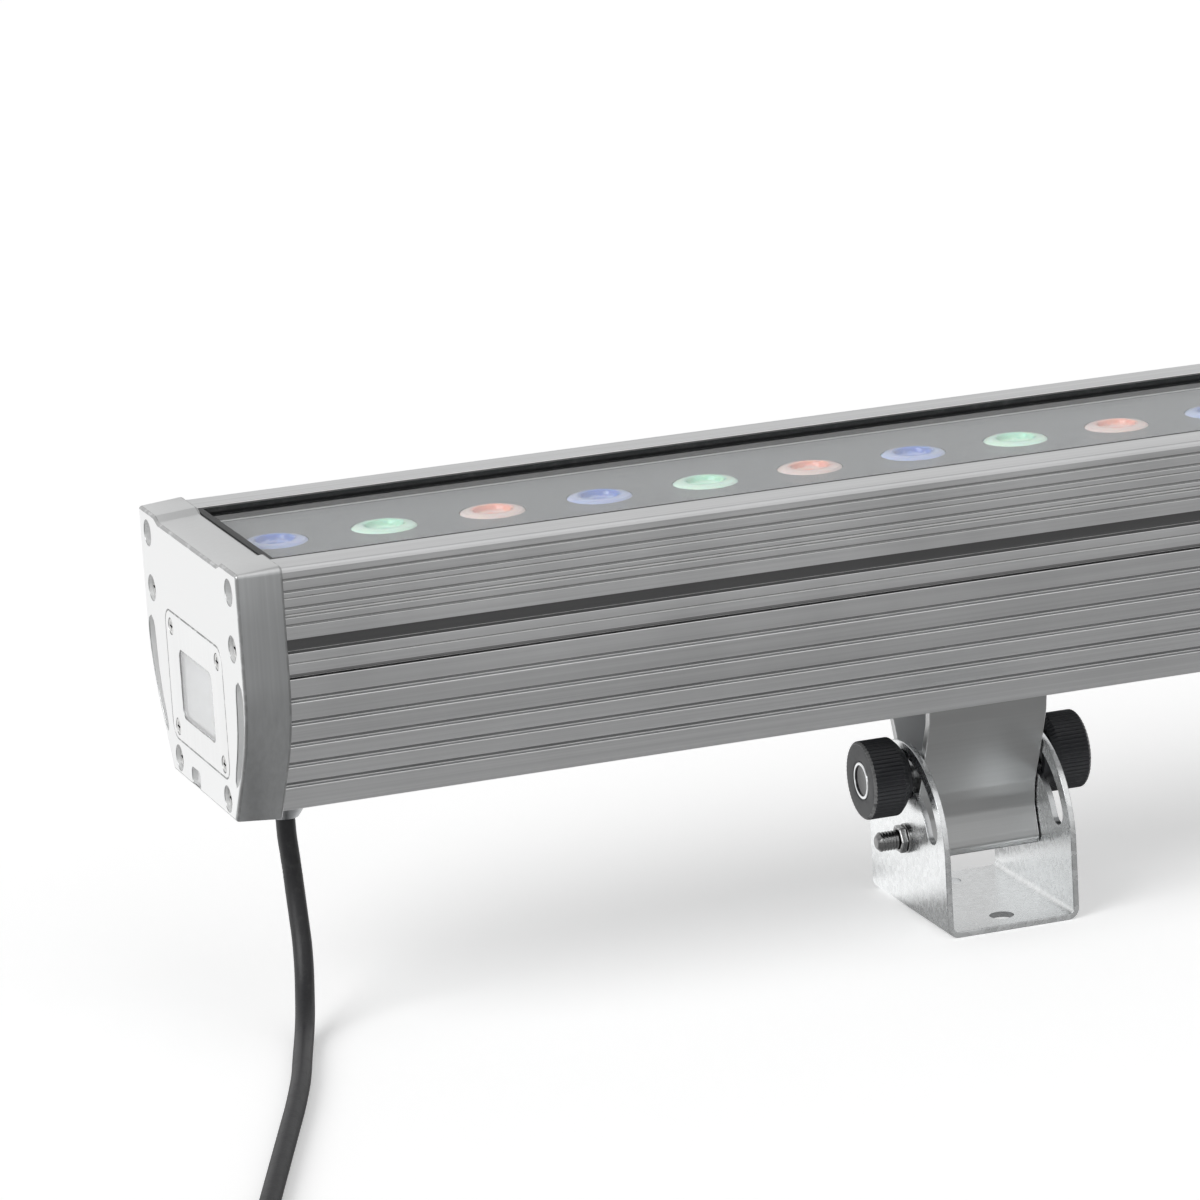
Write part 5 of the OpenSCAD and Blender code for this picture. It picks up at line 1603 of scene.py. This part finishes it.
@dataclass
class Carried:
    """The CAD pieces that keep their own shape and only take a finish."""

    def build(self, finishes: Finishes) -> None:
        """Gives each shown CAD node the material of its record's slot.

        Args:
            finishes: The object's materials.
        """
        slots = {part["node"]: part["material_slot"] for part in frame["record"]["subparts"]}
        for name, node in frame["nodes"].items():
            if node.hide_render:
                continue
            node.data.materials.clear()
            node.data.materials.append(finishes.by_slot[slots[name]])
            log.info("%s keeps its shape and takes %s", name, slots[name])


@dataclass
class Studio:
    """The camera at the photograph's angle, the pale floor and the plain soft light."""

    lens: float = 182.09
    camera_at: tuple[float, float, float] = (-0.86202, -1.36247, 0.447)
    right: tuple[float, float, float] = (0.94064423, -0.33419886, -0.05915703)
    up: tuple[float, float, float] = (0.134398, 0.2067341, 0.96912238)
    view: tuple[float, float, float] = (0.31164982, 0.91954996, -0.2393789)
    floor_half: float = 12.0
    key_strength: float = 1.5
    fill_strength: float = 0.3
    ambient: float = 0.5
    mirrored_front: float = 0.95
    mirrored_left: float = 1.08
    mirrored_right: float = 0.84
    mirrored_zenith: float = 0.6
    floor_colour: float = 0.93
    floor_lift: float = 0.31
    floor_mirrored: float = 0.75
    floor_front_shade: tuple[float, float] = (0.2, 0.27)
    floor_behind: tuple[float, float] = (1.2, 1.0)
    shadow_patch_x: float = 0.305
    shadow_patch_grey: float = 0.62

    def camera(self) -> None:
        """Sets the camera where the photograph was taken from."""
        data = bpy.data.cameras.new("camera")
        data.sensor_width = 36.0
        data.lens = self.lens
        data.clip_start, data.clip_end = 0.05, 60.0
        item = bpy.data.objects.new("camera", data)
        back = -np.array(self.view)
        axes = np.column_stack([self.right, self.up, back])
        item.matrix_world = Matrix.Translation(self.camera_at) @ Matrix(axes.tolist()).to_4x4()
        bpy.context.scene.collection.objects.link(item)
        bpy.context.scene.camera = item

    def sun(self, name: str, toward: Sequence[float], strength: float, angle: float) -> None:
        """Adds a soft lamp that shines from a direction.

        Args:
            name: The lamp's name.
            toward: The direction from the object to the lamp.
            strength: Its strength.
            angle: How wide it is in degrees.
        """
        data = bpy.data.lights.new(name, "SUN")
        data.energy = strength
        data.angle = math.radians(angle)
        item = bpy.data.objects.new(name, data)
        item.rotation_mode = "QUATERNION"
        item.rotation_quaternion = Vector(toward).to_track_quat("Z", "Y")
        bpy.context.scene.collection.objects.link(item)

    @staticmethod
    def rays(tree: Tree) -> tuple[bpy.types.NodeSocket, bpy.types.NodeSocket]:
        """Gives the mark of camera rays and the mark of rays that metal mirrors or glass lets through."""
        ray = tree.node("LightPath").outputs
        return ray["Is Camera Ray"], tree.math("MAXIMUM", ray["Is Glossy Ray"], ray["Is Transmission Ray"])

    def world(self) -> None:
        """Makes the surroundings: white to the camera and even light on the object. What metal and glass
        mirror is brighter on the left and greyer in front, on the right and overhead."""
        world = bpy.data.worlds.new("studio")
        world.use_nodes = True
        tree = Tree(world.node_tree)
        camera_ray, mirror_ray = self.rays(tree)
        heading = tree.node("SeparateXYZ", {0: tree.node("TexCoord").outputs["Generated"]}).outputs
        seen = tree.spread(heading[1], -0.9, 0.5, self.mirrored_front, 1.0)
        aside = tree.spread(heading[0], -0.1, 0.2, self.mirrored_left, self.mirrored_right)
        seen = tree.math("MULTIPLY", seen, aside)
        overhead = tree.spread(heading[2], 0.35, 0.85, 1.0, self.mirrored_zenith)
        seen = tree.math("MULTIPLY", seen, overhead)
        level = tree.node("Mix", {0: mirror_ray, 2: self.ambient, 3: seen}).outputs[0]
        level = tree.node("Mix", {0: camera_ray, 2: level, 3: 1.0}).outputs[0]
        tree.node("OutputWorld", {0: tree.node("Background", {"Strength": level}).outputs[0]})
        bpy.context.scene.world = world

    def floor(self) -> None:
        """Makes the floor: pale with the object's shadow to the camera. What metal and glass mirror of it has
        tones of its own: dark in front as painted shade of the bar, bright behind, and a painted shadow
        behind each bracket."""
        half = self.floor_half
        mesh = bpy.data.meshes.new("floor")
        corners = [(-half, -half, 0), (half, -half, 0), (half, half, 0), (-half, half, 0)]
        mesh.from_pydata(corners, [], [(0, 1, 2, 3)])
        item = bpy.data.objects.new("floor", mesh)
        bpy.context.scene.collection.objects.link(item)
        material = bpy.data.materials.new("floor_paper")
        material.use_nodes = True
        tree = Tree(material.node_tree)
        camera_ray, mirror_ray = self.rays(tree)
        x, y, _ = tree.node("SeparateXYZ", {0: tree.node("TexCoord").outputs["Object"]}).outputs
        # Mirrored tones: painted shade on the floor in front of the bar.
        front = tree.spread(y, -0.055, -0.03, *self.floor_front_shade)
        under = tree.math("MAXIMUM", front, tree.spread(y, 0.002, 0.018, 0.0, self.floor_behind[0]))
        behind = tree.math("MINIMUM", under, tree.spread(y, 0.1, 0.2, *self.floor_behind))
        # A painted shadow on the floor behind each bracket, seen only in reflections.
        from_bracket = tree.math("ABSOLUTE", tree.math("SUBTRACT", tree.math("ABSOLUTE", x), self.shadow_patch_x))
        along = tree.math("MULTIPLY", tree.spread(y, 0.033, 0.039, 0.0, 1.0),
                          tree.spread(y, 0.085, 0.1, 1.0, 0.0))
        painted_shadow = tree.math("MULTIPLY", tree.spread(from_bracket, 0.022, 0.032, self.shadow_patch_grey, 0.0), along)
        grey = tree.math("MULTIPLY", behind, tree.math("SUBTRACT", 1.0, painted_shadow))
        mirrored = tree.node("Emission", {"Strength": grey}).outputs[0]
        paper = tree.node("BsdfDiffuse", {"Color": rgba((self.floor_colour,) * 3)}).outputs[0]
        share = tree.math("MULTIPLY", mirror_ray, self.floor_mirrored)
        mixed = tree.node("MixShader", {0: share, 1: paper, 2: mirrored}).outputs[0]
        whiter = tree.math("MULTIPLY", camera_ray, self.floor_lift)
        lift = tree.node("Emission", {"Strength": whiter}).outputs[0]
        both = tree.node("AddShader", {0: mixed, 1: lift})
        tree.node("OutputMaterial", {"Surface": both.outputs[0]})
        mesh.materials.append(material)

    def build(self) -> None:
        """Sets up the view and the light."""
        self.camera()
        self.world()
        self.floor()
        self.sun("key", (-0.75, -0.3, 0.6), self.key_strength, 40)
        self.sun("fill", (0.35, -0.5, 0.8), self.fill_strength, 60)
        bpy.context.scene.view_settings.view_transform = "Standard"


def main() -> None:
    """Builds the sub-assemblies in order."""
    logging.basicConfig(level=logging.INFO, format="%(name)s %(message)s")
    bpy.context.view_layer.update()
    bar = Bar()
    Studio().build()
    finishes = Finishes()
    for part in (Lead(bar), Housing(bar), EndCaps(bar), CapScrews(bar), ControlPanel(bar), Optics(bar),
                 Hanger(bar, Side.LEFT), Hanger(bar, Side.RIGHT), Carried()):
        part.build(finishes)


if __name__ == "__main__":
    main()
